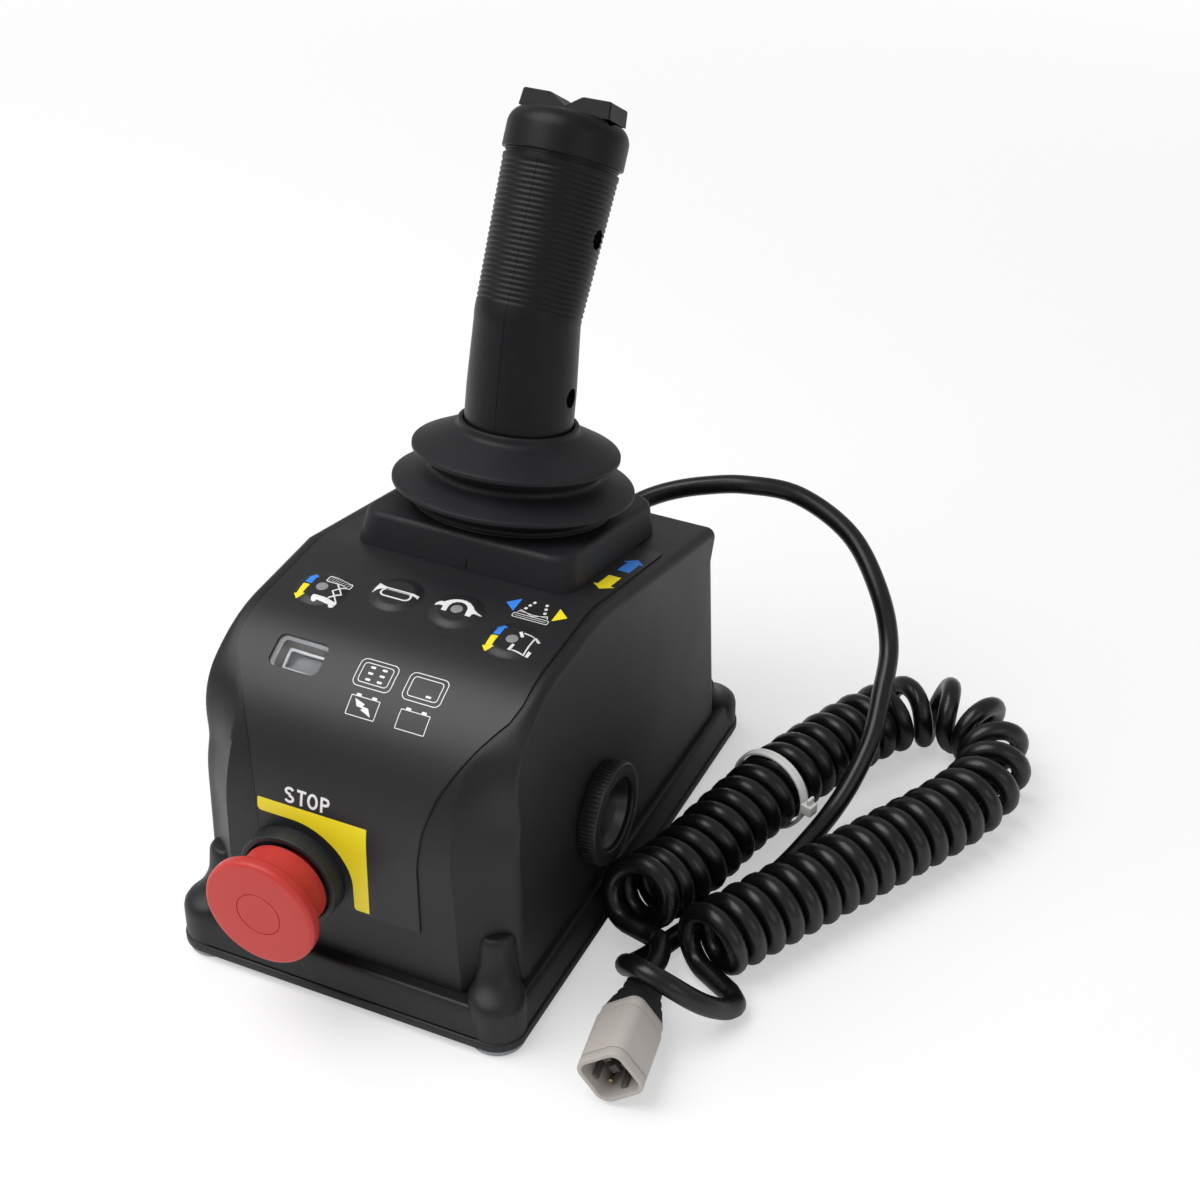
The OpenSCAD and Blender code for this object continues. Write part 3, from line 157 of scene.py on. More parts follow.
def curl_point(count):
    """A place on the curls, after that count of turns about the coil's own line."""
    place = np.array([np.interp(count, turned, coil_line[:, k]) for k in range(3)])
    way = np.array([np.interp(count, turned, coil_ways[:, k]) for k in range(3)])
    way /= np.linalg.norm(way)
    side = beside(way)
    a = math.radians(270 + 360 * count)
    return place + CURL_R * (math.cos(a) * side + math.sin(a) * np.cross(way, side))


curls = np.array([curl_point(t) for t in np.arange(CURLS * CURL_STEPS + 1) / CURL_STEPS])
coil_in = curls[0] - CORD_WIDE * beside(coil_ways[0])
coil_out = curls[-1] + CORD_WIDE * beside(coil_ways[-1])
lead = smooth_line(LEAD_ROUTE + [tuple(coil_in - CORD_WIDE * beside(coil_ways[0]))], LEAD_STEPS)
plug_back = np.array([-math.sin(math.radians(PLUG_YAW)), math.cos(math.radians(PLUG_YAW)), 0])
plug_tail = np.array(PLUG_AT) + (PLUG_LONG + PLUG_BOOT_LONG) * plug_back
tail = smooth_line([tuple(coil_out + CORD_WIDE / 2 * beside(coil_ways[-1]))] + TAIL_ROUTE
                   + [tuple(plug_tail + CORD_WIDE * plug_back)], LEAD_STEPS)
cord_line = np.vstack([[GLAND_END], lead, [coil_in], curls, [coil_out], tail, [plug_tail]])


def as_piece(name, points, faces, finish, smooth=32, spots=None):
    """A piece whose points are in millimetres, with its edges smooth up to that angle."""
    mesh = bpy.data.meshes.new(name)
    mesh.from_pydata([[c / 1000 for c in p] for p in points], [], [list(f) for f in faces])
    if spots is not None:
        uv = mesh.uv_layers.new(name="along")
        for loop in mesh.loops:
            uv.data[loop.index].uv = spots[loop.vertex_index]
    mesh.materials.append(finish)
    mesh.shade_smooth()
    if smooth < 180:
        mesh.set_sharp_from_angle(angle=math.radians(smooth))
    return in_scene(name, mesh)


def ring_faces(count, size, ends=True):
    """Faces between rings of points, closed by an end face each or by the last ring's faces to
    the first."""
    faces = [(i * size + k, i * size + (k + 1) % size,
              (i + 1) * size + (k + 1) % size, (i + 1) * size + k)
             for i in range(count - 1) for k in range(size)]
    last = (count - 1) * size
    if ends:
        return faces + [tuple(range(size - 1, -1, -1)), tuple(range(last, last + size))]
    return faces + [(last + k, last + (k + 1) % size, (k + 1) % size, k) for k in range(size)]


def tube(line, radius, sides=14):
    """Points, faces and places along the length of a round tube about a line."""
    ways = directions(line)
    tip = np.cross(ways[0], [0, 0, 1] if abs(ways[0][2]) < 0.7 else [1, 0, 0])
    tip /= np.linalg.norm(tip)
    radii = np.broadcast_to(radius, len(line))
    run = np.concatenate([[0], np.cumsum(np.linalg.norm(np.diff(line, axis=0), axis=1))])
    points, spots = [], []
    for p, way, r, s in zip(line, ways, radii, run):
        tip = tip - (tip @ way) * way
        tip /= np.linalg.norm(tip)
        other = np.cross(way, tip)
        for k in range(sides):
            a = 2 * math.pi * k / sides
            points.append(p + r * (math.cos(a) * tip + math.sin(a) * other))
            spots.append((s / 10, k / sides))
    return points, ring_faces(len(line), sides), spots


def shade_group(name, inputs, outputs):
    """An empty group of shader nodes, with its named inputs and outputs."""
    tree = bpy.data.node_groups.new(name, "ShaderNodeTree")
    for label, kind, value in inputs:
        made = tree.interface.new_socket(label, in_out="INPUT", socket_type="NodeSocket" + kind)
        if value is not None:
            made.default_value = value
    for label, kind in outputs:
        tree.interface.new_socket(label, in_out="OUTPUT", socket_type="NodeSocket" + kind)
    return tree, tree.nodes.new("NodeGroupInput"), tree.nodes.new("NodeGroupOutput")


def feed(tree, value, socket):
    """Gives a socket its value, which may be another socket's."""
    if isinstance(value, (int, float)):
        socket.default_value = value
    else:
        tree.links.new(value, socket)


def noise(tree, place, scale, detail=2.0, rough=0.5):
    """Soft noise about a place, from 0 to 1; most of it lies between 0.3 and 0.7."""
    made = tree.nodes.new("ShaderNodeTexNoise")
    for label, value in (("Vector", place), ("Scale", scale), ("Detail", detail),
                         ("Roughness", rough)):
        feed(tree, value, made.inputs[label])
    return made.outputs["Fac"]


def spread(tree, value, low, high, first=0.3, last=0.7):
    """A value stretched from the span first to last to the span low to high."""
    made = tree.nodes.new("ShaderNodeMapRange")
    for label, part in (("Value", value), ("From Min", first), ("From Max", last),
                        ("To Min", low), ("To Max", high)):
        feed(tree, part, made.inputs[label])
    return made.outputs["Result"]


def worked(tree, kind, a, b):
    """What a Math node of that kind makes of two values, which may be sockets."""
    made = tree.nodes.new("ShaderNodeMath")
    made.operation = kind
    for socket, part in zip(made.inputs, (a, b)):
        feed(tree, part, socket)
    return made.outputs[0]


# The skin of a moulding: a fine even grain, with slow drifts of tone and gloss and a few
# paler rubs from handling.
skin, skin_in, skin_out = shade_group(
    "moulded skin",
    [("Place", "Vector", None), ("Grain", "Float", 2600.0), ("Drift", "Float", 30.0),
     ("Tone", "Color", (0.01, 0.01, 0.01, 1)), ("Worn tone", "Color", (0.02, 0.02, 0.02, 1)),
     ("Gloss low", "Float", 0.4), ("Gloss high", "Float", 0.5)],
    [("Colour", "Color"), ("Roughness", "Float"), ("Height", "Float")])
fine = noise(skin, skin_in.outputs["Place"], skin_in.outputs["Grain"], 1.5, 0.6)
slow = noise(skin, skin_in.outputs["Place"], skin_in.outputs["Drift"], 4.0, 0.6)
rubs = noise(skin, skin_in.outputs["Place"], 230.0, 6.0, 0.7)
tone = skin.nodes.new("ShaderNodeMix")
tone.data_type = "RGBA"
skin.links.new(worked(skin, "MULTIPLY", spread(skin, slow, 0.0, 1.0),
                      spread(skin, rubs, 0.2, 1.0)), tone.inputs["Factor"])
skin.links.new(skin_in.outputs["Tone"], tone.inputs["A"])
skin.links.new(skin_in.outputs["Worn tone"], tone.inputs["B"])
skin.links.new(tone.outputs["Result"], skin_out.inputs["Colour"])
skin.links.new(spread(skin, worked(skin, "ADD", worked(skin, "MULTIPLY", slow, 0.6),
                                   worked(skin, "MULTIPLY", fine, 0.4)),
                      skin_in.outputs["Gloss low"], skin_in.outputs["Gloss high"]),
               skin_out.inputs["Roughness"])
skin.links.new(fine, skin_out.inputs["Height"])


def rgb(red, green, blue):
    """A colour as a screen shows it, out of 255, as light amounts."""
    return tuple(((c / 255 + 0.055) / 1.055) ** 2.4 if c > 10 else c / 3295
                 for c in (red, green, blue)) + (1,)


def moulded(name, colour, worn, gloss, grain=2600.0, deep=0.02, drift=30.0, specular=0.5,
            along=False, metal=0.0):
    """A finish with the moulded skin; gloss is its least and greatest roughness."""
    finish = bpy.data.materials.new(name)
    finish.use_nodes = True
    tree = finish.node_tree
    shader = tree.nodes["Principled BSDF"]
    where = tree.nodes.new("ShaderNodeTexCoord")
    made = tree.nodes.new("ShaderNodeGroup")
    made.node_tree = skin
    tree.links.new(where.outputs["UV" if along else "Object"], made.inputs["Place"])
    for label, value in (("Grain", grain), ("Drift", drift), ("Tone", colour),
                         ("Worn tone", worn), ("Gloss low", gloss[0]), ("Gloss high", gloss[1])):
        made.inputs[label].default_value = value
    bump = tree.nodes.new("ShaderNodeBump")
    bump.inputs["Strength"].default_value = 0.5
    bump.inputs["Distance"].default_value = deep / 1000
    tree.links.new(made.outputs["Colour"], shader.inputs["Base Color"])
    tree.links.new(made.outputs["Roughness"], shader.inputs["Roughness"])
    tree.links.new(made.outputs["Height"], bump.inputs["Height"])
    tree.links.new(bump.outputs["Normal"], shader.inputs["Normal"])
    shader.inputs["Specular IOR Level"].default_value = specular
    shader.inputs["Metallic"].default_value = metal
    return finish


cord_skin = moulded("cord polyurethane", rgb(10, 10, 11), rgb(20, 20, 21), (0.24, 0.36),
                    grain=3.0, deep=0.02, drift=0.6, specular=0.4, along=True)
points, faces, spots = tube(cord_line, CORD_WIDE / 2)
cord = as_piece("curly_cord", points, faces, cord_skin, 60, spots)
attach(cord, "housing")
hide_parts("cord_lead", "cord_coil", "cord_tail")

# Cord tie
# A white nylon tie pulled round the curls: a strap with fine teeth, its square head and the
# cut end of the strap.
TIE_WIDE, TIE_THICK = 3.6, 1.1
TIE_AT = 0.755  # its share of the way along the curls


def soften(corners, radius, steps=4, closed=True):
    """An outline with its corners rounded; a corner may carry its own radius."""
    count, out = len(corners), []
    for i, corner in enumerate(corners):
        p = Vector(corner[:2])
        r = corner[2] if len(corner) > 2 else radius
        if r == 0 or (not closed and i in (0, count - 1)):
            out.append(tuple(p))
            continue
        a = Vector(corners[i - 1][:2]) - p
        b = Vector(corners[(i + 1) % count][:2]) - p
        angle = a.angle(b)
        if angle > math.radians(176):
            out.append(tuple(p))
            continue
        cut = min(r / math.tan(angle / 2), a.length * 0.48, b.length * 0.48)
        r = cut * math.tan(angle / 2)
        first, last = p + a.normalized() * cut, p + b.normalized() * cut
        middle = p + (a.normalized() + b.normalized()).normalized() * (r / math.sin(angle / 2))
        start = first - middle
        sweep = start.angle_signed(last - middle)
        for k in range(steps + 1):
            out.append(tuple(middle + Matrix.Rotation(-sweep * k / steps, 2) @ start))
    return out


def circle(radius, z, sides):
    return [(radius * math.cos(2 * math.pi * k / sides), radius * math.sin(2 * math.pi * k / sides),
             z) for k in range(sides)]


def lathe(profile, sides, place, closed=True):
    """Points and faces of a turned shape. The profile is (radius, height), run upwards on the
    outside; an open profile starts and ends on the axis."""
    points, faces, rings = [], [], []
    for r, z in profile:
        if r < 1e-6:
            rings.append([len(points)])
            points.append(place @ Vector((0, 0, z)))
        else:
            rings.append(list(range(len(points), len(points) + sides)))
            points += [place @ Vector(p) for p in circle(r, z, sides)]
    pairs = list(zip(rings, rings[1:])) + ([(rings[-1], rings[0])] if closed else [])
    for low, high in pairs:
        for k in range(sides):
            n = (k + 1) % sides
            if len(low) == 1 and len(high) == 1:
                continue
            if len(low) == 1:
                faces.append((low[0], high[n], high[k]))
            elif len(high) == 1:
                faces.append((low[k], low[n], high[0]))
            else:
                faces.append((low[k], low[n], high[n], high[k]))
    return points, faces


def joined(*shapes):
    """Several (points, faces) as one."""
    points, faces = [], []
    for some, more in shapes:
        faces += [tuple(i + len(points) for i in f) for f in more]
        points += list(some)
    return points, faces


def stack(outlines, place, ends=True):
    """Points and faces between outlines of as many points, each (x, y, z) in order."""
    points = [place @ Vector(p) for outline in outlines for p in outline]
    return points, ring_faces(len(outlines), len(outlines[0]), ends)


def rounded_rect(wide, deep, radius, z, steps=5):
    """The outline of a rectangle with rounded corners, at that height."""
    corners = [(wide / 2, -deep / 2), (wide / 2, deep / 2), (-wide / 2, deep / 2),
               (-wide / 2, -deep / 2)]
    return [(x, y, z) for x, y in soften(corners, radius, steps)]


def block(wide, deep, low, high, radius, edge, place, steps=4):
    """A box with rounded corners and softened top and bottom edges."""
    levels = [(edge, low), (edge * 0.3, low + edge * 0.3), (0, low + edge), (0, high - edge),
              (edge * 0.3, high - edge * 0.3), (edge, high)]
    return stack([rounded_rect(wide - 2 * i, deep - 2 * i, max(radius - i, 0.05), z, steps)
                  for i, z in levels], place)


def turn(axis, degrees):
    return Matrix.Rotation(math.radians(degrees), 4, axis)


def shift(x, y, z):
    return Matrix.Translation((x, y, z))


tie_i = round(TIE_AT * coil_last)
tie_way = coil_ways[tie_i]
tie_place = (shift(*coil_line[tie_i]) @ turn("Z", math.degrees(math.atan2(tie_way[1], tie_way[0])))
             @ turn("Y", math.degrees(math.acos(tie_way[2]))))
tie_in = CURL_R + CORD_WIDE / 2 + 0.35
tie_out = tie_in + TIE_THICK
strap = lathe(soften([(tie_in, -TIE_WIDE / 2), (tie_out, -TIE_WIDE / 2), (tie_out, TIE_WIDE / 2),
                      (tie_in, TIE_WIDE / 2)], 0.35, 3), 96, tie_place)
tie_head = tie_place @ turn("Z", 90) @ shift(tie_in + TIE_THICK / 2 + 2, 0, 0)
head = block(4.2, 4.4, -2.2, 2.2, 0.6, 0.4, tie_head @ turn("Y", 90) @ turn("Z", 90))
stub = block(1.1, 3.4, 0, 4.4, 0.4, 0.15, tie_head @ shift(0.4, 0, 0) @ turn("X", -90))
nylon = moulded("tie nylon", rgb(232, 232, 230), rgb(214, 214, 212), (0.3, 0.42), deep=0.01,
                specular=0.5)
nylon_shader = nylon.node_tree.nodes["Principled BSDF"]
nylon_shader.inputs["Subsurface Weight"].default_value = 0.15
nylon_shader.inputs["Subsurface Radius"].default_value = (0.001, 0.001, 0.001)
tie = as_piece("cord_tie_strap", *joined(strap, head, stub), nylon)


def set_out_tree():
    """Sets a shape out at each point of a mesh, turned by the points' own values and sized by one
    given size.
    """
    tree = bpy.data.node_groups.new("set out", "GeometryNodeTree")
    sockets = {}
    for label, kind in (("Places", "Geometry"), ("Shape", "Object"), ("Size", "Float"),
                        ("Finish", "Material")):
        sockets[label] = tree.interface.new_socket(
            label, in_out="INPUT", socket_type="NodeSocket" + kind).identifier
    tree.interface.new_socket("Made", in_out="OUTPUT", socket_type="NodeSocketGeometry")
    given, made = tree.nodes.new("NodeGroupInput"), tree.nodes.new("NodeGroupOutput")
    shape = tree.nodes.new("GeometryNodeObjectInfo")
    turned_by = tree.nodes.new("GeometryNodeInputNamedAttribute")
    turned_by.data_type = "FLOAT_VECTOR"
    turned_by.inputs["Name"].default_value = "turn"
    copies = tree.nodes.new("GeometryNodeInstanceOnPoints")
    real = tree.nodes.new("GeometryNodeRealizeInstances")
    painted = tree.nodes.new("GeometryNodeSetMaterial")
    link = tree.links.new
    link(given.outputs["Places"], copies.inputs["Points"])
    link(given.outputs["Shape"], shape.inputs["Object"])
    link(shape.outputs["Geometry"], copies.inputs["Instance"])
    link(turned_by.outputs["Attribute"], copies.inputs["Rotation"])
    link(given.outputs["Size"], copies.inputs["Scale"])
    link(copies.outputs["Instances"], real.inputs["Geometry"])
    link(real.outputs["Geometry"], painted.inputs["Geometry"])
    link(given.outputs["Finish"], painted.inputs["Material"])
    link(painted.outputs["Geometry"], made.inputs["Made"])
    return tree, sockets


set_out, set_out_sockets = set_out_tree()


def settled(piece):
    """The piece's mesh with its modifiers worked in, which are removed."""
    seen = bpy.context.evaluated_depsgraph_get()
    final = bpy.data.meshes.new_from_object(piece.evaluated_get(seen))
    piece.modifiers.clear()
    return final


def repeated(name, shape, places, finish, smooth=32, size=1.0):
    """The shape, (points, faces) about the origin, set out at each matrix of places."""
    model = as_piece(name + "_one", *shape, finish, smooth)
    mesh = bpy.data.meshes.new(name)
    mesh.from_pydata([[c / 1000 for c in m.to_translation()] for m in places], [], [])
    turns = mesh.attributes.new("turn", "FLOAT_VECTOR", "POINT")
    turns.data.foreach_set("vector", [a for m in places for a in m.to_euler()])
    places_piece = in_scene(name, mesh)
    laid = places_piece.modifiers.new("set out", "NODES")
    laid.node_group = set_out
    laid[set_out_sockets["Shape"]] = model
    laid[set_out_sockets["Size"]] = size
    laid[set_out_sockets["Finish"]] = finish
    final = settled(places_piece)
    final.name = name
    bpy.data.objects.remove(places_piece)
    bpy.data.objects.remove(model)
    return in_scene(name, final)


teeth_at = [tie_place @ turn("Z", a) @ shift(tie_out, 0, 0) for a in np.arange(100, 440, 3.2)]
tie_teeth = repeated("cord_tie_teeth", block(0.16, 1.5, -0.1, 0.1, 0.05, 0.04, turn("Y", 90), 1),
                     teeth_at, nylon)
for piece in (tie, tie_teeth):
    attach(piece, "housing")
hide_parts("cord_tie")

# Plug
# A four way connector in warm grey thermoplastic, moulded in one: smooth sides, a lip and a
# groove at the mouth, and a wedge inside that locks the contacts.
PLUG_WIDE, PLUG_CORNER_R = 17.5, 4.5
PLUG_BOOT_WIDE, PLUG_BOOT_R, RIDGE = 15.4, 6.0, 0.35
plug_place = shift(*PLUG_AT) @ turn("Z", PLUG_YAW) @ turn("X", 90) @ turn("Z", PLUG_ROLL)
# Up the outside from the back, over the mouth's lip and down the inside: (inset, height).
levels = [(1.9, -PLUG_LONG), (1.0, -26.4), (0.55, -25.6), (0.5, -24), (0.5, -22.3), (0.1, -21.7),
          (0, -21.2), (0, -4.1), (0.12, -3.7), (0.5, -3.6), (0.5, -3.0), (0.12, -2.9),
          (0, -2.5), (0, -0.5), (0.15, -0.12), (0.45, 0), (1.2, 0), (1.45, -0.12),
          (1.6, -0.6), (1.7, -13.9), (2.0, -14)]
shell = stack([rounded_rect(PLUG_WIDE - 2 * i, PLUG_WIDE - 2 * i, max(PLUG_CORNER_R - i, 1.6), z, 8)
               for i, z in levels], plug_place)
warm_grey = moulded("plug thermoplastic", rgb(176, 169, 164), rgb(184, 178, 173), (0.4, 0.54),
                    deep=0.03, specular=0.4)
plug = as_piece("plug_shell", *shell, warm_grey)
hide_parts("plug_body")

# The wedge, in a darker grey: a block with four posts, a cross shaped gap between them and four
# thin fingers that reach along the walls.
posts = [block(3.1, 3.1, -11, -6.8, 0.5, 0.5, plug_place @ turn("Z", a) @ shift(2.35, 2.35, 0))
         for a in (0, 90, 180, 270)]
wedge_block = block(8, 8, -13.95, -10.4, 0.8, 0.4, plug_place)
fingers = [block(2.4, 0.9, -13.9, -2.6, 0.3, 0.3, plug_place @ turn("Z", a) @ shift(0, 6.3, 0))
           for a in (0, 90, 180, 270)]
dark_grey = moulded("wedge thermoplastic", rgb(88, 84, 80), rgb(100, 96, 92), (0.4, 0.52),
                    specular=0.4)
wedge = as_piece("plug_wedge_lock", *joined(wedge_block, *posts, *fingers), dark_grey)
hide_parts("plug_wedge")

# Four contacts, turned from brass and tinned, with rounded tips.
tinned = moulded("contact plating", rgb(205, 190, 150), rgb(188, 170, 122), (0.2, 0.34),
                 deep=0.005, metal=1.0)
contact = lathe(soften([(0, -14), (0.8, -14), (0.8, -5), (0, -5)], 0.45, 4, closed=False), 20,
                Matrix(), closed=False)
contacts = repeated("plug_contacts", contact,
                    [plug_place @ turn("Z", 45 + 90 * i) @ shift(7.0, 0, 0) for i in range(4)],
                    tinned)
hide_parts("plug_pins")

# The boot on the plug's back: black rubber that narrows from a square to the round cord, with
# ridges that let it bend.
boot_rings = []
for k in range(25):
    t = k / 24
    z = -PLUG_LONG + 0.4 - (PLUG_BOOT_LONG + 0.35) * t
    square = rounded_rect(PLUG_BOOT_WIDE, PLUG_BOOT_WIDE, 3.2, z, 5)
    size = PLUG_BOOT_R + RIDGE * (math.sin(t * 8 * math.pi) if 0.3 < t < 0.95 else 0)
    ring = []
    for x, y, h in square:
        a = math.atan2(y, x)
        ease = min(1, max(0, t / 0.75)) ** 1.2
        r = math.hypot(x, y) * (1 - ease) + size * ease
        ring.append((r * math.cos(a), r * math.sin(a), h))
    boot_rings.append(ring)
boot_rings.reverse()
boot_rubber = moulded("plug boot rubber", rgb(30, 30, 31), rgb(42, 42, 42), (0.5, 0.62),
                      deep=0.03, specular=0.3)
plug_boot = as_piece("plug_boot_rubber", *stack(boot_rings, plug_place), boot_rubber, 50)
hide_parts("plug_boot")
for piece, kind in ((plug, "plug_grey"), (wedge, "plug_grey"), (contacts, "plug_metal"),
                    (plug_boot, "cord")):
    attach(piece, "housing")

# Housing
# One moulding in black glass-filled nylon, 3 mm thick: leaning walls, a front that curves over
# into the top, cut-back front corners, a skirt on the base rim and a boss over each foot.
BASE_Z, RIM_H, BASE_W, BASE_D, RIM_R = 2.5, 3.2, 124, 192, 10
BODY_W, DRAFT, WALL = 107, 2.25, 3
NOSE_Y, BACK_Y, NOSE_H, CROWN_H = -89, 81, 60, 110.6
CROWN_RUN, TOP_RUN, TOP_RISE, SEAT_SLOPE, SEAT_RUN = 49, 29.5, 1.2, 13, 39.5
EDGE_R, CORNER_R, BACK_R, FACET_D, FACET_W = 3, 8, 4, 13.5, 16
FACET_IN, FACET_BACK = [1, 0.66, 0.33, 0.06, 0], [0, 0.38, 0.72, 0.93, 1.1]
CROWN_Y, CROWN_Z = NOSE_Y + CROWN_RUN, BASE_Z + CROWN_H
BEND_Y, BEND_Z = CROWN_Y + TOP_RUN, CROWN_Z + TOP_RISE
TOP_TILT = math.degrees(math.atan2(TOP_RISE, TOP_RUN))
SLOPE = math.radians(SEAT_SLOPE)
SEAT_Y, SEAT_Z = BEND_Y + SEAT_RUN * math.cos(SLOPE), BEND_Z - SEAT_RUN * math.sin(SLOPE)
RIM_TOP = BASE_Z + RIM_H
FOOT_X, FOOT_Y = BASE_W / 2 - RIM_R, BASE_D / 2 - RIM_R
STOP_X, STOP_Z, ALARM_Y, ALARM_Z = -15.2, 44.3, -20, 41
WINDOW_X, WINDOW_AT, WINDOW_W, WINDOW_D = -26, 63.8, 17.6, 11.2
STICK_V, SHEET_W = 1.3, 98
STOP_BORE, ALARM_BORE, GLAND_BORE, STICK_BORE, SCREW_BORE = 11.05, 14.15, 6.15, 17.95, 2.05
POST_X, POST_RUN, POST_LOW, BOARD_RUN = 22.148, 12, -12.4, 8
STICK_SCREW = 27
KEYS = {"lift": (-0.337 * SHEET_W, 0.169 * TOP_RUN), "horn": (-0.102 * SHEET_W, 0.39 * TOP_RUN),
        "slow": (0.117 * SHEET_W, 0.39 * TOP_RUN), "drive": (0.347 * SHEET_W, 0.169 * TOP_RUN)}
KEY_R = 7.4


def curve_at(a):
    """A place and its outward way on the front curve, a degrees up from the nose."""
    a = math.radians(a)
    n = Vector((-math.cos(a) / CROWN_RUN, math.sin(a) / (CROWN_H - NOSE_H))).normalized()
    return (CROWN_Y - CROWN_RUN * math.cos(a),
            BASE_Z + NOSE_H + (CROWN_H - NOSE_H) * math.sin(a), n[0], n[1])


def wall_x(z):
    """How far the leaning side wall stands from the middle at that height."""
    return BODY_W / 2 + (CROWN_Z - z) * math.tan(math.radians(DRAFT))


def at_top(x, run):
    """A frame on the top, x across it and run back from the front curve, with Z out."""
    return shift(x, CROWN_Y, CROWN_Z) @ turn("X", TOP_TILT) @ shift(0, run, 0)


def at_curve(x, a):
    """A frame on the front curve, x across it and a degrees up it, with Z out."""
    y, z, ny, nz = curve_at(a)
    return shift(x, y, z) @ turn("X", math.degrees(math.atan2(-ny, nz)))


at_stop = shift(STOP_X, NOSE_Y, BASE_Z + STOP_Z) @ turn("X", 90)
at_alarm = (shift(wall_x(BASE_Z + ALARM_Z), ALARM_Y, BASE_Z + ALARM_Z)
            @ turn("Y", 90 - DRAFT))
at_gland = shift(GLAND_END[0], BACK_Y, GLAND_END[2]) @ turn("X", -90)
at_seat = shift(0, SEAT_Y, SEAT_Z) @ turn("X", -SEAT_SLOPE)
at_stick = at_seat @ shift(0, STICK_V, 0)


def body_rows(low, curve_steps, back_steps):
    """The side profile as (y, z, way y, way z, radius of the side edges)."""
    rows = [(NOSE_Y, low, -1, 0, EDGE_R)]
    rows += [curve_at(90 * i / curve_steps) + (EDGE_R,) for i in range(curve_steps + 1)]
    bend = Vector((math.sin(SLOPE) - math.sin(math.radians(TOP_TILT)),
                   math.cos(SLOPE) + math.cos(math.radians(TOP_TILT)))).normalized()
    rows.append((BEND_Y, BEND_Z, bend[0], bend[1], EDGE_R))
    back_z = BEND_Z - (BACK_Y - BACK_R - BEND_Y) * math.tan(SLOPE) - BACK_R / math.cos(SLOPE)
    for i in range(back_steps + 1):
        a = math.radians((90 - SEAT_SLOPE) * (1 - i / back_steps))
        rows.append((BACK_Y - BACK_R + BACK_R * math.cos(a), back_z + BACK_R * math.sin(a),
                     math.cos(a), math.sin(a), EDGE_R))
    return rows + [(BACK_Y, back_z - CORNER_R, 1, 0, CORNER_R), (BACK_Y, low, 1, 0, CORNER_R)]


def fade(h, start, end):
    """From 1 below start, smoothly to 0 above end."""
    t = min(1, max(0, (h - start) / (end - start)))
    return 1 - t * t * (3 - 2 * t)


def share(table, j):
    """A smooth value between a table's five shares."""
    ends = [2 * table[0] - table[1]] + table + [2 * table[-1] - table[-2]]
    i = min(int(j), 3)
    return curved(*ends[i:i + 4], j - i)


def body_shape(e, low, curve_steps, back_steps, side_steps):
    """The body, or its hollow with e below 0, as points and faces."""
    rings = []
    for y0, z0, ny, nz, r in body_rows(low, curve_steps, back_steps):
        h = (z0 - BASE_Z) / CROWN_H
        front = 1 if ny < 0 else 0
        deep, wide = front * fade(h, 0.683, 0.918), front * fade(h, 0.827, 0.99)
        r = max(r + e, 0.3)
        half = []
        for k in range(side_steps + 1):
            j = 4 * k / side_steps
            a = math.radians(90 * j / 4)
            out = (r - r * math.sin(a)) * (1 - wide) + wide * FACET_W * share(FACET_IN, j)
            t = (r - r * math.cos(a)) * (1 - deep) + deep * FACET_D * share(FACET_BACK, j) - e
            z = z0 - nz * t
            half.append((wall_x(z) + e - out, y0 - ny * t, z))
        rings.append([(-x, y, z) for x, y, z in reversed(half)] + half)
    size, count = len(rings[0]), len(rings)
    points = [p for ring in rings for p in ring]
    faces = [(i * size + k, i * size + k + 1, (i + 1) * size + k + 1, (i + 1) * size + k)
             for i in range(count - 1) for k in range(size - 1)]
    faces.append(tuple(i * size + size - 1 for i in range(count - 1, -1, -1)))
    faces.append(tuple(i * size for i in range(count)))
    faces.append(tuple([(count - 1) * size + k for k in range(size)]
                       + [k for k in range(size - 1, -1, -1)]))
    return points, faces


def drum(radius, low, high, place, sides=64):
    return stack([circle(radius, z, sides) for z in (low, high)], place)


def carved(piece, adds, cuts):
    """The piece with shapes joined on and others cut out, with even faces again."""
    groups = []
    for kind, shapes in (("UNION", adds), ("DIFFERENCE", cuts)):
        if not shapes:
            continue
        group = bpy.data.collections.new("tools")
        bpy.context.scene.collection.children.link(group)
        for shape in shapes:
            tool = as_piece("tool", *shape, piece.data.materials[0], 180)
            bpy.context.scene.collection.objects.unlink(tool)
            group.objects.link(tool)
        step = piece.modifiers.new(kind, "BOOLEAN")
        step.operation, step.solver, step.operand_type = kind, "EXACT", "COLLECTION"
        step.collection = group
        groups.append(group)
    piece.data = settled(piece)
    for group in groups:
        for tool in list(group.objects):
            bpy.data.objects.remove(tool)
        bpy.data.collections.remove(group)
    return piece


def evened(piece, smooth=32):
    """Flat faces keep their own shade, so that long faces beside small ones look true."""
    tidy = bmesh.new()
    tidy.from_mesh(piece.data)
    bmesh.ops.remove_doubles(tidy, verts=tidy.verts, dist=1e-6)
    bmesh.ops.dissolve_degenerate(tidy, edges=tidy.edges, dist=1e-6)
    tidy.to_mesh(piece.data)
    tidy.free()
    piece.data.shade_smooth()
    piece.data.set_sharp_from_angle(angle=math.radians(smooth))
    even = piece.modifiers.new("even", "WEIGHTED_NORMAL")
    even.keep_sharp = True
    even.weight = 100
    piece.data = settled(piece)
    return piece


def slab(wide, deep, radius, low, high, place=Matrix()):
    return stack([rounded_rect(wide, deep, radius, z, 8) for z in (low, high)], place)


def tray(levels):
    """Outlines of the base stacked, each (inset, height)."""
    return stack([rounded_rect(BASE_W - 2 * i, BASE_D - 2 * i, RIM_R - i, z, 10)
                  for i, z in levels], Matrix())


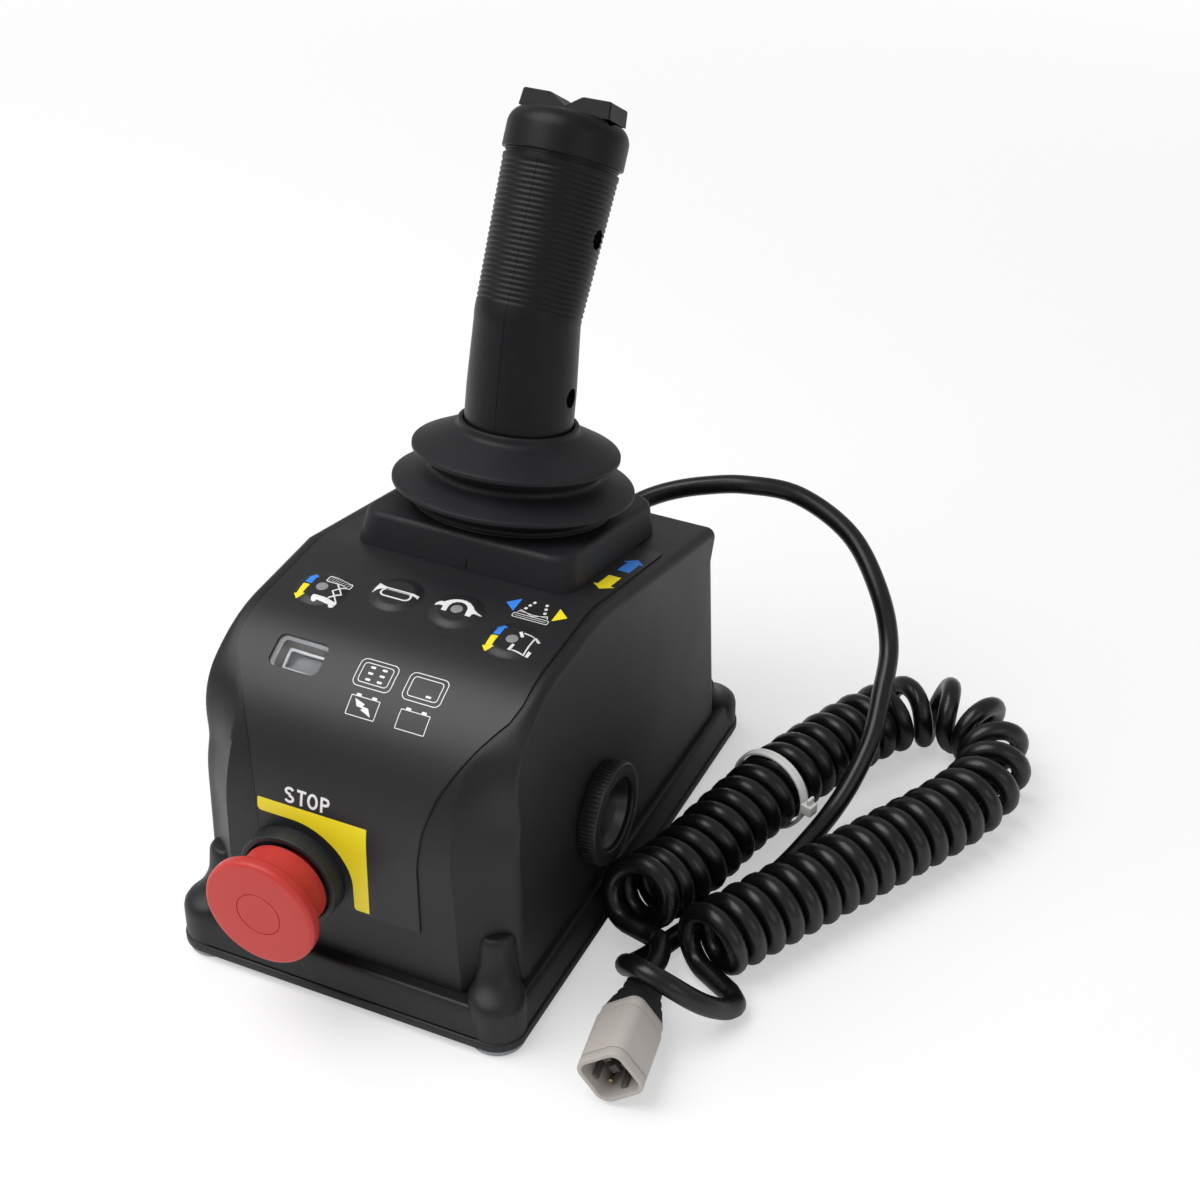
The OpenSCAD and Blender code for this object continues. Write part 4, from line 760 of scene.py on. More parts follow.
rim = tray([(0.5, BASE_Z), (0.15, BASE_Z + 0.15), (0, BASE_Z + 0.5), (0, RIM_TOP - 0.6),
            (0.18, RIM_TOP - 0.18), (0.6, RIM_TOP), (1.1, RIM_TOP + 0.02)])
skirt = tray([(1.15, RIM_TOP - 0.8), (1.15, RIM_TOP + 0.35), (0.75, RIM_TOP + 0.7),
              (1.15, RIM_TOP + 3), (1.9, RIM_TOP + 8), (2.4, RIM_TOP + 9.8),
              (2.9, RIM_TOP + 10.5), (3.6, RIM_TOP + 10.8)])


def boss(side, end, top, high):
    """A boss over a foot: a wide drum whose shoulder sweeps in to a slender post at the wall."""
    foot = Vector((side * FOOT_X, end * FOOT_Y))
    wall = Vector((side * (FOOT_X - 3.5), end * (FOOT_Y - 7.5)))
    rings = []
    for along, r, z in ((0, 9.5, -1), (0, 9.4, top - 4.5), (0.02, 9.1, top - 2.6),
                        (0.09, 8.5, top - 1.2), (0.22, 7.8, top - 0.2), (0.42, 7.2, top + 0.9),
                        (0.62, 6.9, top + 2.6), (0.8, 6.7, top + 4.8), (0.93, 6.6, top + 7.6),
                        (1, 6.5, max(high - 4, top + 7.9)), (1, 6.2, high - 1.8),
                        (1, 5.4, high - 0.6), (1, 4.4, high)):
        middle = foot.lerp(wall, along)
        rings.append([(middle.x + x, middle.y + y, h) for x, y, h in circle(r, RIM_TOP + z, 45)])
    return stack(rings, Matrix())


bosses = [boss(side, end, top, high) for side in (-1, 1)
          for end, top, high in ((-1, 14.9, 31.7), (1, 11.7, 21.0))]
feet_at = [shift(x * FOOT_X, y * FOOT_Y, 0) for x in (-1, 1) for y in (-1, 1)]
holes = [body_shape(-WALL, BASE_Z - 1, 12, 3, 4),
         slab(BASE_W - 5.6, BASE_D - 5.6, 8.2, BASE_Z - 1, BASE_Z + 3),
         drum(STOP_BORE, -4, 1, at_stop), drum(ALARM_BORE, -4, 1, at_alarm),
         drum(GLAND_BORE, -4, 1, at_gland), drum(STICK_BORE, -4, 1, at_stick),
         slab(WINDOW_W, WINDOW_D, 2.4, -5, 2, at_curve(WINDOW_X, WINDOW_AT))]
holes += [drum(KEY_R + 0.3, -4, 1, at_top(*place)) for place in KEYS.values()]
holes += [drum(SCREW_BORE, BASE_Z + 2, BASE_Z + 17, place, 24) for place in feet_at]
holes += [drum(SCREW_BORE, -4, 1, at_stick @ shift(x, y, 0), 24)
          for x in (-STICK_SCREW, STICK_SCREW) for y in (-STICK_SCREW, STICK_SCREW)]
posts = [lathe([(1.5, POST_LOW), (2.5, POST_LOW), (2.5, -2), (1.5, -2)], 24,
               at_top(x, BOARD_RUN + run))
         for x in (-POST_X, POST_X) for run in (-POST_RUN, POST_RUN)]
black_nylon = moulded("housing nylon", rgb(17, 17, 19), rgb(27, 27, 29), (0.4, 0.54),
                      grain=2400, deep=0.035, drift=22, specular=0.36)
housing = as_piece("housing_moulding", *body_shape(0, RIM_TOP - 1.6, 40, 8, 12), black_nylon)
housing = evened(carved(housing, [rim, skirt] + bosses + posts, holes), 34)
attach(housing, "housing")
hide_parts("housing_shell")

# Base plate, seal, feet
# A 2 mm steel plate in black powder coat closes the bottom on a foam seal. A soft clear ring
# under each corner is held by the button head screw that also holds the plate.
PLATE_W, PLATE_D, PLATE_R, PLATE_BORE, FOOT_R = 118, 186, 8, 2.15, 9
SEAL_W, SEAL_D, SEAL_IN_W, SEAL_IN_D = 117.8, 185.8, 108, 152
plate = as_piece("base_plate_steel", *stack(
    [rounded_rect(PLATE_W - 2 * i, PLATE_D - 2 * i, PLATE_R - i, z, 10)
     for i, z in ((0.4, BASE_Z), (0, BASE_Z + 0.4), (0, BASE_Z + 1.6), (0.4, BASE_Z + 2))],
    Matrix()), moulded("powder coat", rgb(26, 26, 27), rgb(36, 36, 37), (0.45, 0.6),
                       grain=900, deep=0.08, specular=0.4))
plate = evened(carved(plate, [], [drum(PLATE_BORE, BASE_Z - 1, BASE_Z + 3, p, 24) for p in feet_at]
                      + [drum(FOOT_R + 0.05, BASE_Z - 1, BASE_Z + 0.3, p, 48) for p in feet_at]))
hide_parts("base_plate")
foam = moulded("seal foam", rgb(40, 40, 40), rgb(62, 62, 62), (0.85, 0.95), grain=1500,
               deep=0.12, specular=0.2)
seal = as_piece("base_seal_foam", *stack([rounded_rect(w, d, PLATE_R, z, 8) for w, d, z in (
    (SEAL_IN_W, SEAL_IN_D, BASE_Z + 2), (SEAL_W, SEAL_D, BASE_Z + 2), (SEAL_W, SEAL_D, BASE_Z + 3),
    (SEAL_IN_W, SEAL_IN_D, BASE_Z + 3))], Matrix(), ends=False), foam)
seal = evened(carved(seal, [], [drum(PLATE_BORE, BASE_Z + 1, BASE_Z + 4, p, 24) for p in feet_at]))
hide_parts("base_seal")
clear_rubber = moulded("clear foot rubber", rgb(214, 220, 224), rgb(196, 203, 208), (0.28, 0.4),
                       deep=0.02, specular=0.5)
clear_shader = clear_rubber.node_tree.nodes["Principled BSDF"]
clear_shader.inputs["Transmission Weight"].default_value = 0.55
clear_shader.inputs["IOR"].default_value = 1.41
foot = lathe(soften([(4.6, 0), (FOOT_R, 0), (FOOT_R, 2.8), (4.6, 2.8)], 0.55, 4), 56, Matrix())
feet = repeated("feet", foot, feet_at, clear_rubber, 40)
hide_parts("base_feet")


def hexagon(flat_r, z, sides):
    """Points round a hexagon whose flats lie flat_r from its middle."""
    made = []
    for x, y, _ in circle(1, z, sides):
        near = (math.atan2(y, x) + math.pi / 6) % (math.pi / 3) - math.pi / 6
        made.append((x * flat_r / math.cos(near), y * flat_r / math.cos(near), z))
    return made


def socket_screw(head_r, head_h, socket_r, shank_r, shank_l, pitch=0.7, sides=36):
    """A button head screw pointing along +Z, its head below 0, with a hexagonal socket."""
    flat_r = socket_r * math.cos(math.pi / 6)
    rings = [hexagon(flat_r, -head_h + 1.1, sides), hexagon(flat_r, -head_h + 0.1, sides),
             hexagon(flat_r * 1.1, -head_h, sides)]
    levels = [(head_r * 0.62, -head_h), (head_r * 0.84, -head_h * 0.84),
              (head_r * 0.96, -head_h * 0.5), (head_r, -head_h * 0.16), (head_r * 0.98, 0),
              (shank_r, 0)]
    for i in range(int(shank_l / pitch)):
        levels += [(shank_r, 0.3 + i * pitch), (shank_r * 0.88, 0.65 + i * pitch)]
    levels += [(shank_r * 0.85, shank_l - 0.3), (shank_r * 0.6, shank_l)]
    return stack(rings + [circle(r, z, sides) for r, z in levels], Matrix())


bright_zinc = moulded("zinc plate", rgb(186, 188, 192), rgb(160, 162, 166), (0.22, 0.38),
                      grain=1800, deep=0.006, metal=1.0)
base_screws = repeated("base_plate_screws", socket_screw(3.8, 1.9, 1.6, 1.95, 14),
                       [p @ shift(0, 0, BASE_Z + 0.3) for p in feet_at], bright_zinc)
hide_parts("base_screws")
for piece in (plate, seal, feet, base_screws):
    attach(piece, "housing")

# Panel sheet
# A printed polyester sheet glued over the top and the front curve, matt black with a fine
# texture. It narrows towards the nose, and it is raised over each of the four keys.
SHEET_LOW, SHEET_TOP, SHEET_EDGE = 0.05, 0.5, 0.12
COLLAR_HOLE_R, BOOT_HOLE_W, BOOT_HOLE_D = 17.15, 68, 64.5
SHEET_ANGLES = [0, 15.2, 28.2, 38.4, 49.2, 58, 61.3, 68.5, 90]
SHEET_SHARES = [0.571, 0.6, 0.663, 0.743, 0.841, 0.935, 0.971, 1, 1]
SHEET_END_Y = SEAT_Y + 17
half_bend = SLOPE / 2 - math.radians(TOP_TILT) / 2
sheet_ends = [(BEND_Y, BEND_Z, math.sin(half_bend), math.cos(half_bend)),
              (SHEET_END_Y, BEND_Z - (SHEET_END_Y - BEND_Y) * math.tan(SLOPE), math.sin(SLOPE),
               math.cos(SLOPE))]
sheet_line = [(NOSE_Y, BASE_Z + 34.5, -1.0, 0.0, 0.0), (NOSE_Y, BASE_Z + 52, -1.0, 0.0, 0.0)]
sheet_line += [curve_at(a) + (a,) for a in np.linspace(0, 90, 73)]
sheet_line += [end + (90.0,) for end in sheet_ends]
sheet_rings = []
for y, z, ny, nz, a in sheet_line:
    half = SHEET_W / 2 * np.interp(a, SHEET_ANGLES, SHEET_SHARES)
    right = [(half - SHEET_EDGE, SHEET_TOP), (half, SHEET_TOP - SHEET_EDGE),
             (half, SHEET_LOW + 0.1), (half - 0.1, SHEET_LOW)]
    sheet_rings.append([(x, y + e * ny, z + e * nz)
                        for x, e in [(-x, e) for x, e in reversed(right)] + right])
sheet_shape = stack(sheet_rings, Matrix())
sheet_black = moulded("panel sheet print", rgb(28, 28, 30), rgb(33, 33, 35), (0.36, 0.46),
                      grain=3400, deep=0.02, drift=14, specular=0.36)
sheet = as_piece("panel_sheet_print", *sheet_shape, sheet_black, 30)
sheet = evened(carved(sheet, [], [
    drum(COLLAR_HOLE_R, -1, 2, at_stop), slab(BOOT_HOLE_W, BOOT_HOLE_D, 5, -1, 2, at_stick),
    slab(WINDOW_W, WINDOW_D, 2.4, -1, 2, at_curve(WINDOW_X, WINDOW_AT))]
    + [drum(KEY_R + 0.3, -1, 2, at_top(*place)) for place in KEYS.values()]), 30)
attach(sheet, "housing")
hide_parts("panel_sheet")

# Printed marks
# Plain marks of the industry, screen printed on the sheet: white pictures of what each key
# moves, blue and yellow arrows for the two directions, and lamps and batteries.
PRINTS_LOW = 15
curve_angles = np.linspace(0, 90, 181)
way_line = np.array([(NOSE_Y, BASE_Z + PRINTS_LOW, -1.0, 0.0), (NOSE_Y, BASE_Z + NOSE_H, -1.0, 0.0)]
                    + [curve_at(a) for a in curve_angles[1:]] + sheet_ends)
way_run = np.concatenate([[0], np.cumsum(np.hypot(*np.diff(way_line[:, :2], axis=0).T))])
curve_runs = way_run[1:len(curve_angles) + 1]
DOME_R, DOME_FLAT, DOME_H = 9.2, 5.6, 1.15
PRINT_LOW, PRINT_HIGH, PRINT_STEP = 0.02, 0.09, 1.1


def dome_rise(r):
    """Height of the raised sheet over a key, above the flat sheet."""
    return DOME_H * fade(r, DOME_FLAT, DOME_R)


def on_sheet(x, s, above):
    """The place x across the sheet and s along it from its lower end, raised over the keys."""
    y, z, ny, nz = (np.interp(s, way_run, way_line[:, k]) for k in range(4))
    for kx, run in KEYS.values():
        r = math.hypot(x - kx, s - curve_runs[-1] - run)
        if r < DOME_R:
            above = above + dome_rise(r)
    return (x, y + (SHEET_TOP + above) * ny, z + (SHEET_TOP + above) * nz)


def flexed(piece):
    """A piece on a key's dome, with its place worked into its points; it is not bent and goes with no
    body.
    """
    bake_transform(piece)


def marks(name, shapes, finish, key=None):
    """A print 0.07 mm thick. ("fill", points) is a filled outline, and ("line", points, width,
    closed) a drawn one. A print on a key's dome is raised over it, but it is not bent and goes with
    no body."""
    flat = bmesh.new()
    for kind, route, *rest in shapes:
        route = [Vector(p) for p in route]
        if kind == "fill":
            corners = [flat.verts.new((p.x, p.y, 0)) for p in route]
            for three in tessellate_polygon([[Vector((p.x, p.y, 0)) for p in route]]):
                flat.faces.new([corners[i] for i in three])
            continue
        width, closed = rest
        pairs, n = [], len(route)
        for i, p in enumerate(route):
            before = route[i - 1] if closed or i else 2 * p - route[1]
            after = route[(i + 1) % n] if closed or i < n - 1 else 2 * p - route[-2]
            a, b = (p - before).normalized(), (after - p).normalized()
            middle = (a + b).normalized()
            side = Vector((-middle.y, middle.x)) * (width / 2 / max(0.5, middle.dot(a)))
            pairs.append([flat.verts.new((*(p + side * k), 0)) for k in (1, -1)])
        for (a, b), (c, d) in zip(pairs, pairs[1:] + (pairs[:1] if closed else [])):
            flat.faces.new((b, d, c, a))
    # Long edges are cut, so that the print can follow the curves of the sheet and the domes.
    for _ in range(5):
        long = [e for e in flat.edges if e.calc_length() > PRINT_STEP]
        if long:
            bmesh.ops.subdivide_edges(flat, edges=long, cuts=1)
            bmesh.ops.triangulate(flat, faces=flat.faces)
    for face in flat.faces:
        if face.normal.z < 0:
            face.normal_flip()
    flat.verts.index_update()
    spots = [(v.co.x, v.co.y) for v in flat.verts]
    count = len(spots)
    faces = [tuple(count + v.index for v in f.verts) for f in flat.faces]
    faces += [tuple(v.index for v in reversed(f.verts)) for f in flat.faces]
    for e in flat.edges:
        if e.is_boundary:
            loop = e.link_loops[0]
            a, b = loop.vert.index, loop.link_loop_next.vert.index
            faces.append((a, b, count + b, count + a))
    flat.free()
    points = [on_sheet(x, s, lift) for lift in (PRINT_LOW, PRINT_HIGH) for x, s in spots]
    piece = as_piece(name, points, faces, finish, 40)
    if key is None:
        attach(piece, "housing")
    else:
        flexed(piece)


def ink(name, colour, edge):
    return moulded(name, colour, edge, (0.34, 0.44), grain=3400, deep=0.01, specular=0.4)


white_ink = ink("white ink", rgb(228, 228, 226), rgb(214, 214, 213))
blue_ink = ink("blue ink", rgb(52, 128, 226), rgb(60, 134, 226))
yellow_ink = ink("yellow ink", rgb(240, 220, 36), rgb(232, 210, 36))


def boxed(x0, s0, x1, s1, r, steps=4):
    return soften([(x1, s0), (x1, s1), (x0, s1), (x0, s0)], r, steps)


def disc(x, s, r, count=20):
    return [(x + r * math.cos(2 * math.pi * k / count), s + r * math.sin(2 * math.pi * k / count))
            for k in range(count)]


def arrow(x, tail, tip, shaft, head, head_long):
    """A straight arrow along the sheet, rounded a little at its corners."""
    neck = tip - math.copysign(head_long, tip - tail)
    return ("fill", soften([(x - shaft / 2, tail), (x + shaft / 2, tail), (x + shaft / 2, neck),
                            (x + head / 2, neck), (x, tip), (x - head / 2, neck),
                            (x - shaft / 2, neck)], 0.15, 2))


# Lift key: a folding lift seen from the side.
marks("print_lift", [
    ("line", boxed(-33.2, 131.0, -25.0, 133.7, 0.5, 3), 0.34, True)]
    + [("line", [(x, 131.3), (x + 0.5, 133.4)], 0.14, False) for x in np.arange(-32.5, -25.7, 0.9)]
    + [("line", [(-28.9, 130.8), (-25.6, 127.2), (-28.4, 123.7)], 0.48, False),
       ("line", [(-25.8, 130.8), (-28.7, 127.2), (-25.4, 123.5)], 0.48, False),
       ("fill", boxed(-33.4, 121.7, -25.0, 123.5, 0.4)),
       ("fill", disc(-32.2, 121.7, 0.95)), ("fill", disc(-26.0, 121.5, 0.95))],
    white_ink, key="lift")
marks("print_lift_up", [arrow(-38.1, 128.1, 133.4, 2.3, 4.2, 1.9)], blue_ink, key="lift")
marks("print_lift_down", [arrow(-38.2, 127.4, 120.6, 2.3, 4.2, 2.3)], yellow_ink, key="lift")

# Horn key: a plain horn.
marks("print_horn", [
    ("fill", [(-17.6, 138.0), (-17.6, 132.4), (-16.3, 133.7), (-15.2, 134.5), (-13.6, 134.85),
              (-3.2, 134.85), (-2.5, 134.6), (-2.5, 136.2), (-3.2, 135.95), (-13.6, 135.95),
              (-15.2, 136.2), (-16.3, 136.8)]),
    ("line", boxed(-14.6, 131.7, -4.4, 135.2, 1.7, 5), 0.6, True)], white_ink, key="horn")

# Slow key: a tortoise, with the lamp inside its shell.
marks("print_slow", [("fill", [
    (3.4, 135.0), (3.7, 136.1), (4.7, 136.6), (6.2, 136.4), (7.2, 137.6), (8.8, 138.7),
    (10.6, 139.3), (12.4, 139.3), (14.2, 138.7), (15.8, 137.5), (17.0, 136.1), (18.2, 135.6),
    (19.9, 135.5), (19.3, 134.9), (17.7, 134.5), (17.1, 133.9), (17.0, 132.5), (15.3, 132.5),
    (15.0, 134.2), (14.7, 135.8), (13.9, 137.1), (12.6, 137.9), (11.3, 138.1), (9.9, 137.7),
    (8.9, 136.7), (8.5, 135.4), (8.6, 134.0), (8.8, 132.3), (7.1, 132.3), (6.8, 134.4),
    (5.0, 134.5), (3.9, 134.5)])], white_ink, key="slow")

# Steering: the front of the machine with its two ways to turn.
marks("print_steering", [
    ("line", boxed(27.9, 139.7, 39.9, 141.6, 0.4, 3), 0.26, True),
    ("line", [(28.6, 140.65), (39.2, 140.65)], 0.18, False),
    ("line", [(28.8, 142.2), (29.3, 143.6), (31.0, 143.0), (33.9, 141.9), (36.8, 143.0),
              (38.4, 143.6), (39.0, 142.2)], 0.26, False),
    ("line", [(28.9, 142.9), (33.9, 142.6), (38.9, 142.9)], 0.18, False)]
    + [("line", [(a, s), (b, s + 0.95)], 0.95, False)
       for a, b, s in ((30.2, 30.5, 144.4), (30.8, 31.1, 146.2), (31.5, 31.8, 148.0),
                       (37.1, 36.9, 144.2), (36.6, 36.3, 146.2), (36.0, 35.7, 148.1))],
    white_ink)
marks("print_steer_left", [("fill", soften([(23.3, 145.4), (27.2, 142.1), (27.2, 148.8)],
                                           0.15, 2))], blue_ink)
marks("print_steer_right", [("fill", soften([(44.4, 145.3), (40.4, 148.8), (40.4, 142.0)],
                                            0.15, 2))], yellow_ink)

# Drive key: the wheels and axles from above.
marks("print_drive", [
    ("line", [(36.3, 131.9), (40.4, 131.3), (40.3, 123.1), (36.2, 123.1)], 0.45, False),
    ("line", [(35.0, 132.1), (36.7, 129.9)], 1.0, False),
    ("line", [(40.3, 131.5), (42.1, 130.3)], 1.0, False),
    ("line", [(35.5, 122.7), (35.7, 125.8)], 1.0, False),
    ("line", [(41.4, 122.8), (41.5, 125.2)], 1.0, False)], white_ink, key="drive")
marks("print_drive_ahead", [arrow(28.5, 128.2, 134.1, 2.3, 4.3, 2.0)], blue_ink, key="drive")
marks("print_drive_back", [arrow(28.4, 127.6, 120.6, 2.4, 4.3, 2.4)], yellow_ink, key="drive")

# Big arrows beside the boot: push or pull the handle.
marks("print_push", [arrow(44.7, 187.2, 199.4, 4.2, 7.4, 4.0)], blue_ink)
marks("print_pull", [arrow(44.3, 181.6, 169.2, 4.4, 7.6, 3.6)], yellow_ink)

# Lamps and batteries under the keys.
marks("print_lamps", [
    ("line", boxed(-5.3, 96.5, 7.6, 105.8, 1.9, 5), 0.27, True),
    ("line", boxed(-3.9, 97.9, 6.2, 104.5, 1.1, 4), 0.27, True)]
    + [("fill", boxed(x - 0.85, s - 0.38, x + 0.85, s + 0.38, 0.25, 2))
       for x in (-0.7, 3.3) for s in (103.3, 101.2, 99.1)]
    + [("line", boxed(11.7, 96.5, 24.7, 105.8, 1.9, 5), 0.27, True),
       ("line", boxed(13.1, 97.9, 23.3, 104.5, 1.1, 4), 0.27, True),
       ("fill", boxed(19.3, 98.65, 21.1, 99.4, 0.25, 2))], white_ink)
marks("print_batteries", [
    ("line", boxed(-3.5, 87.3, 6.2, 93.4, 0.15, 2), 0.26, True),
    ("fill", boxed(-2.1, 93.5, -0.4, 94.3, 0.25, 2)),
    ("fill", boxed(3.2, 93.5, 4.9, 94.3, 0.25, 2)),
    ("fill", [(-2.0, 92.6), (1.7, 91.5), (1.3, 90.7), (3.2, 90.5), (4.8, 88.1), (0.9, 89.5),
              (1.5, 90.1), (-0.7, 90.3)]),
    ("line", boxed(13.5, 87.3, 23.3, 93.4, 0.15, 2), 0.26, True),
    ("fill", boxed(14.9, 93.5, 16.6, 94.3, 0.25, 2)),
    ("fill", boxed(20.2, 93.5, 21.9, 94.3, 0.25, 2))], white_ink)

# Stop mark
# A yellow corner printed round the red button, with the plain word for what it does.
STOP_S, CORNER_MARK_R = STOP_Z - PRINTS_LOW, 20.3
WORD_X, WORD_S, WORD_TALL, STROKE = -17.6, 55.4, 4.75, 0.85


def bow(x, y, wide, high, angles):
    """Points on an oval about x, y, at those degrees."""
    return [(x + wide * math.cos(math.radians(a)), y + high * math.sin(math.radians(a)))
            for a in angles]


marks("print_stop_corner", [("fill", soften(
    [(10.9, 54.3, 0), (-27.5, 54.3, 0.4), (-27.6, 49.6, 1.6), (STOP_X, STOP_S + CORNER_MARK_R, 0)]
    + [(x, s, 0) for x, s in bow(STOP_X, STOP_S, CORNER_MARK_R, CORNER_MARK_R, range(88, 3, -4))]
    + [(4.9, 20.6, 1.2), (10.2, 20.6, 0.3)], 0.2, 4))], yellow_ink)
s_strokes = bow(1.0, 3.85, 0.95, 0.95, range(20, 271, 25)) + bow(
    1.0, 1.3, 0.9975, 1.0, range(80, -161, -24))
word = [([(x * 1.35, s) for x, s in s_strokes], False),
        ([(4.0, WORD_TALL), (7.2, WORD_TALL)], False), ([(5.6, WORD_TALL), (5.6, 0)], False),
        (bow(9.55, 2.6, 1.45, 2.2, range(0, 360, 18)), True),
        ([(12.7, 0), (12.7, WORD_TALL), (14.0, WORD_TALL), (14.8, 4.45), (15.1, 3.7), (14.8, 2.95),
          (14.0, 2.6), (12.8, 2.6)], False)]
marks("print_stop_word", [("line", [(x + WORD_X, s + WORD_S) for x, s in route], STROKE, closed)
                          for route, closed in word], white_ink)

# Sheet's edge shadow
# A painted shadow: a dark line printed along both of the sheet's sides, just inside its cut edge,
# which sets the sheet off from the housing where the gap at its edge lies in shade.
SHADOW_LINE_IN, SHADOW_LINE_WIDE = 0.22, 0.42
edge_shadow_route = [(SHEET_W / 2 * np.interp(a, SHEET_ANGLES, SHEET_SHARES) - SHADOW_LINE_IN,
           np.interp(a, curve_angles, curve_runs)) for a in np.linspace(0, 90, 60)]
edge_shadow_route = ([(SHEET_W / 2 * SHEET_SHARES[0] - SHADOW_LINE_IN, 19.8)] + edge_shadow_route
          + [(SHEET_W / 2 - SHADOW_LINE_IN, way_run[-1] - 0.3)])
# Near-black painted shade down each side, standing in for the shadow at the sheet's edge.
for side, label in ((-1, "left"), (1, "right")):
    marks("print_border_" + label, [("line", [(side * x, s) for x, s in edge_shadow_route], SHADOW_LINE_WIDE, False)],
          ink("painted edge shadow ink", rgb(4, 4, 4), rgb(8, 8, 8)))

# Key domes and their lenses
# The sheet is embossed into a low dome over each key: thin, springy, the sheet's own black.
# The domes stay where they are made, and each lens goes with its key.
DOME_THICK, DOME_LIFT, RIM_IN, LENS_R, LENS_GAP, LENS_TOP = 0.2, 0.03, 0.3, 2.0, 0.05, 1.72
dome_profile = [(DOME_R, SHEET_TOP - 0.1), (DOME_R, SHEET_TOP + DOME_LIFT)]
dome_profile += [(r, SHEET_TOP + DOME_LIFT + dome_rise(r))
                 for r in np.linspace(DOME_R - RIM_IN, 2.6, 16)]
for key in KEYS:
    place = at_top(*KEYS[key])
    inner = LENS_R + LENS_GAP if key != "horn" else 0.0
    outside = dome_profile + [(inner, SHEET_TOP + DOME_H)]
    under = [(inner, SHEET_TOP + DOME_H - DOME_THICK)]
    under += [(r, h - DOME_THICK) for r, h in reversed(dome_profile[2:])]
    under += [(DOME_R - RIM_IN, SHEET_TOP - 0.1)]
    dome = as_piece("dome_" + key, *lathe(outside + under, 72, place), sheet_black, 40)
    flexed(dome)
    if inner:
        lens_line = soften([(0, -0.1), (LENS_R, -0.1), (LENS_R, LENS_TOP), (0, LENS_TOP)], 0.18, 3,
                           False)
        lens = as_piece("lens_cap_" + key, *lathe(lens_line, 32, place, closed=False), moulded(
            "lens " + key, rgb(140, 140, 142), rgb(128, 128, 130), (0.16, 0.26), deep=0.005))
        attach(lens, key + "_key")
        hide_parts("lens_" + key)

# Window and display
# The window: a clear acrylic pane let into the sheet, over a silvery tray with sloping walls
# and a dark display with its lighter frame at the bottom.
PANE_W, PANE_D, PANE_R, TRAY_W, TRAY_D = 17.4, 11.0, 2.3, 15.4, 9.2
SCREEN_W, SCREEN_D, SCREEN_RIM = 11.0, 5.2, 0.8
at_window = at_curve(WINDOW_X, WINDOW_AT)
clear = bpy.data.materials.new("window acrylic")
clear.use_nodes = True
pane_tree = clear.node_tree
pane_shader = pane_tree.nodes["Principled BSDF"]
pane_place = pane_tree.nodes.new("ShaderNodeTexCoord")
pane_tree.links.new(spread(pane_tree, noise(pane_tree, pane_place.outputs["Object"], 300.0), 0.01,
                           0.05), pane_shader.inputs["Roughness"])
pane_shader.inputs["Base Color"].default_value = (0.97, 0.98, 0.98, 1)
pane_shader.inputs["Transmission Weight"].default_value = 1.0
pane_shader.inputs["IOR"].default_value = 1.2
pane = as_piece("window_pane", *block(PANE_W, PANE_D, -1.2, -0.2, PANE_R, 0.15, at_window), clear)
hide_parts("window_lens")
well = [(25.8, 13.8, 1.0, -12.7), (25.8, 13.8, 1.0, -2.7), (TRAY_W, TRAY_D, 1.2, -2.7),
        (13.4, 7.4, 0.8, -6.4)]
silver = moulded("display surround", rgb(226, 228, 230), rgb(198, 200, 203), (0.22, 0.34),
                 deep=0.01, specular=0.5)
well_dark = moulded("display well", rgb(96, 93, 90), rgb(118, 115, 112), (0.24, 0.36), deep=0.01)
case_well = as_piece("display_case", *stack([rounded_rect(w, d, r, z, 6) for w, d, r, z in well],
                                            at_window), well_dark)
surround = as_piece("display_surround", *stack([rounded_rect(w, d, r, z, 6) for w, d, r, z in (
    (PANE_W, PANE_D, PANE_R, -2.6), (PANE_W, PANE_D, PANE_R, -1.35),
    (PANE_W - 0.4, PANE_D - 0.4, PANE_R - 0.2, -1.3), (TRAY_W, TRAY_D, 1.2, -2.6))],
    at_window, ends=False), silver)
screen_finish = moulded("display face", rgb(44, 52, 60), rgb(56, 64, 72), (0.12, 0.2), deep=0.004)
screen = as_piece("display_screen", *block(SCREEN_W, SCREEN_D, -6.5, -5.9, 0.4, 0.12, at_window),
                  screen_finish)
screen_rim = as_piece("display_rim", *stack(
    [rounded_rect(SCREEN_W + 2 * out, SCREEN_D + 2 * out, 0.5, z, 3)
     for out, z in ((SCREEN_RIM, -6.5), (SCREEN_RIM, -5.5), (0, -5.5), (0, -6.5))],
    at_window, ends=False), silver)
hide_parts("display_module")
for piece, kind in ((pane, "window"), (case_well, "display"), (surround, "display"),
                    (screen, "display"), (screen_rim, "display")):
    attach(piece, "housing")

# Board, switches, pins
# The solids of the frame that stay as they are: each has its own finish. The board is green
# laminate, the switches, keys and nuts black, the screws zinc plated, the pins turned steel.
board_green = moulded("board laminate", rgb(28, 84, 52), rgb(34, 96, 60), (0.3, 0.42), deep=0.01)
key_black = moulded("key thermoplastic", rgb(34, 34, 36), rgb(44, 44, 46), (0.4, 0.52))
switch_black = moulded("switch thermoplastic", rgb(38, 38, 40), rgb(50, 50, 52), (0.34, 0.46))
steel = moulded("turned steel", rgb(168, 168, 170), rgb(140, 141, 144), (0.24, 0.38),
                grain=1500, deep=0.006, metal=1.0)
inner_black = moulded("inner casting", rgb(36, 36, 38), rgb(48, 48, 50), (0.46, 0.58))
kept = {"circuit_board": board_green, "board_screws": bright_zinc, "key_switches": switch_black,
        "joystick_base": inner_black, "joystick_screws": bright_zinc, "tilt_pin": steel,
        "joystick_shaft": steel, "stop_nut": inner_black, "stop_contacts": switch_black,
        "alarm_nut": inner_black, "gland_nut": inner_black, "steer_switches": switch_black,
        "trigger_pin": steel, "rocker_pin": steel}
kept.update({"key_" + key: key_black for key in KEYS})
for node, finish in kept.items():
    frame["nodes"][node].data.materials.clear()
    frame["nodes"][node].data.materials.append(finish)

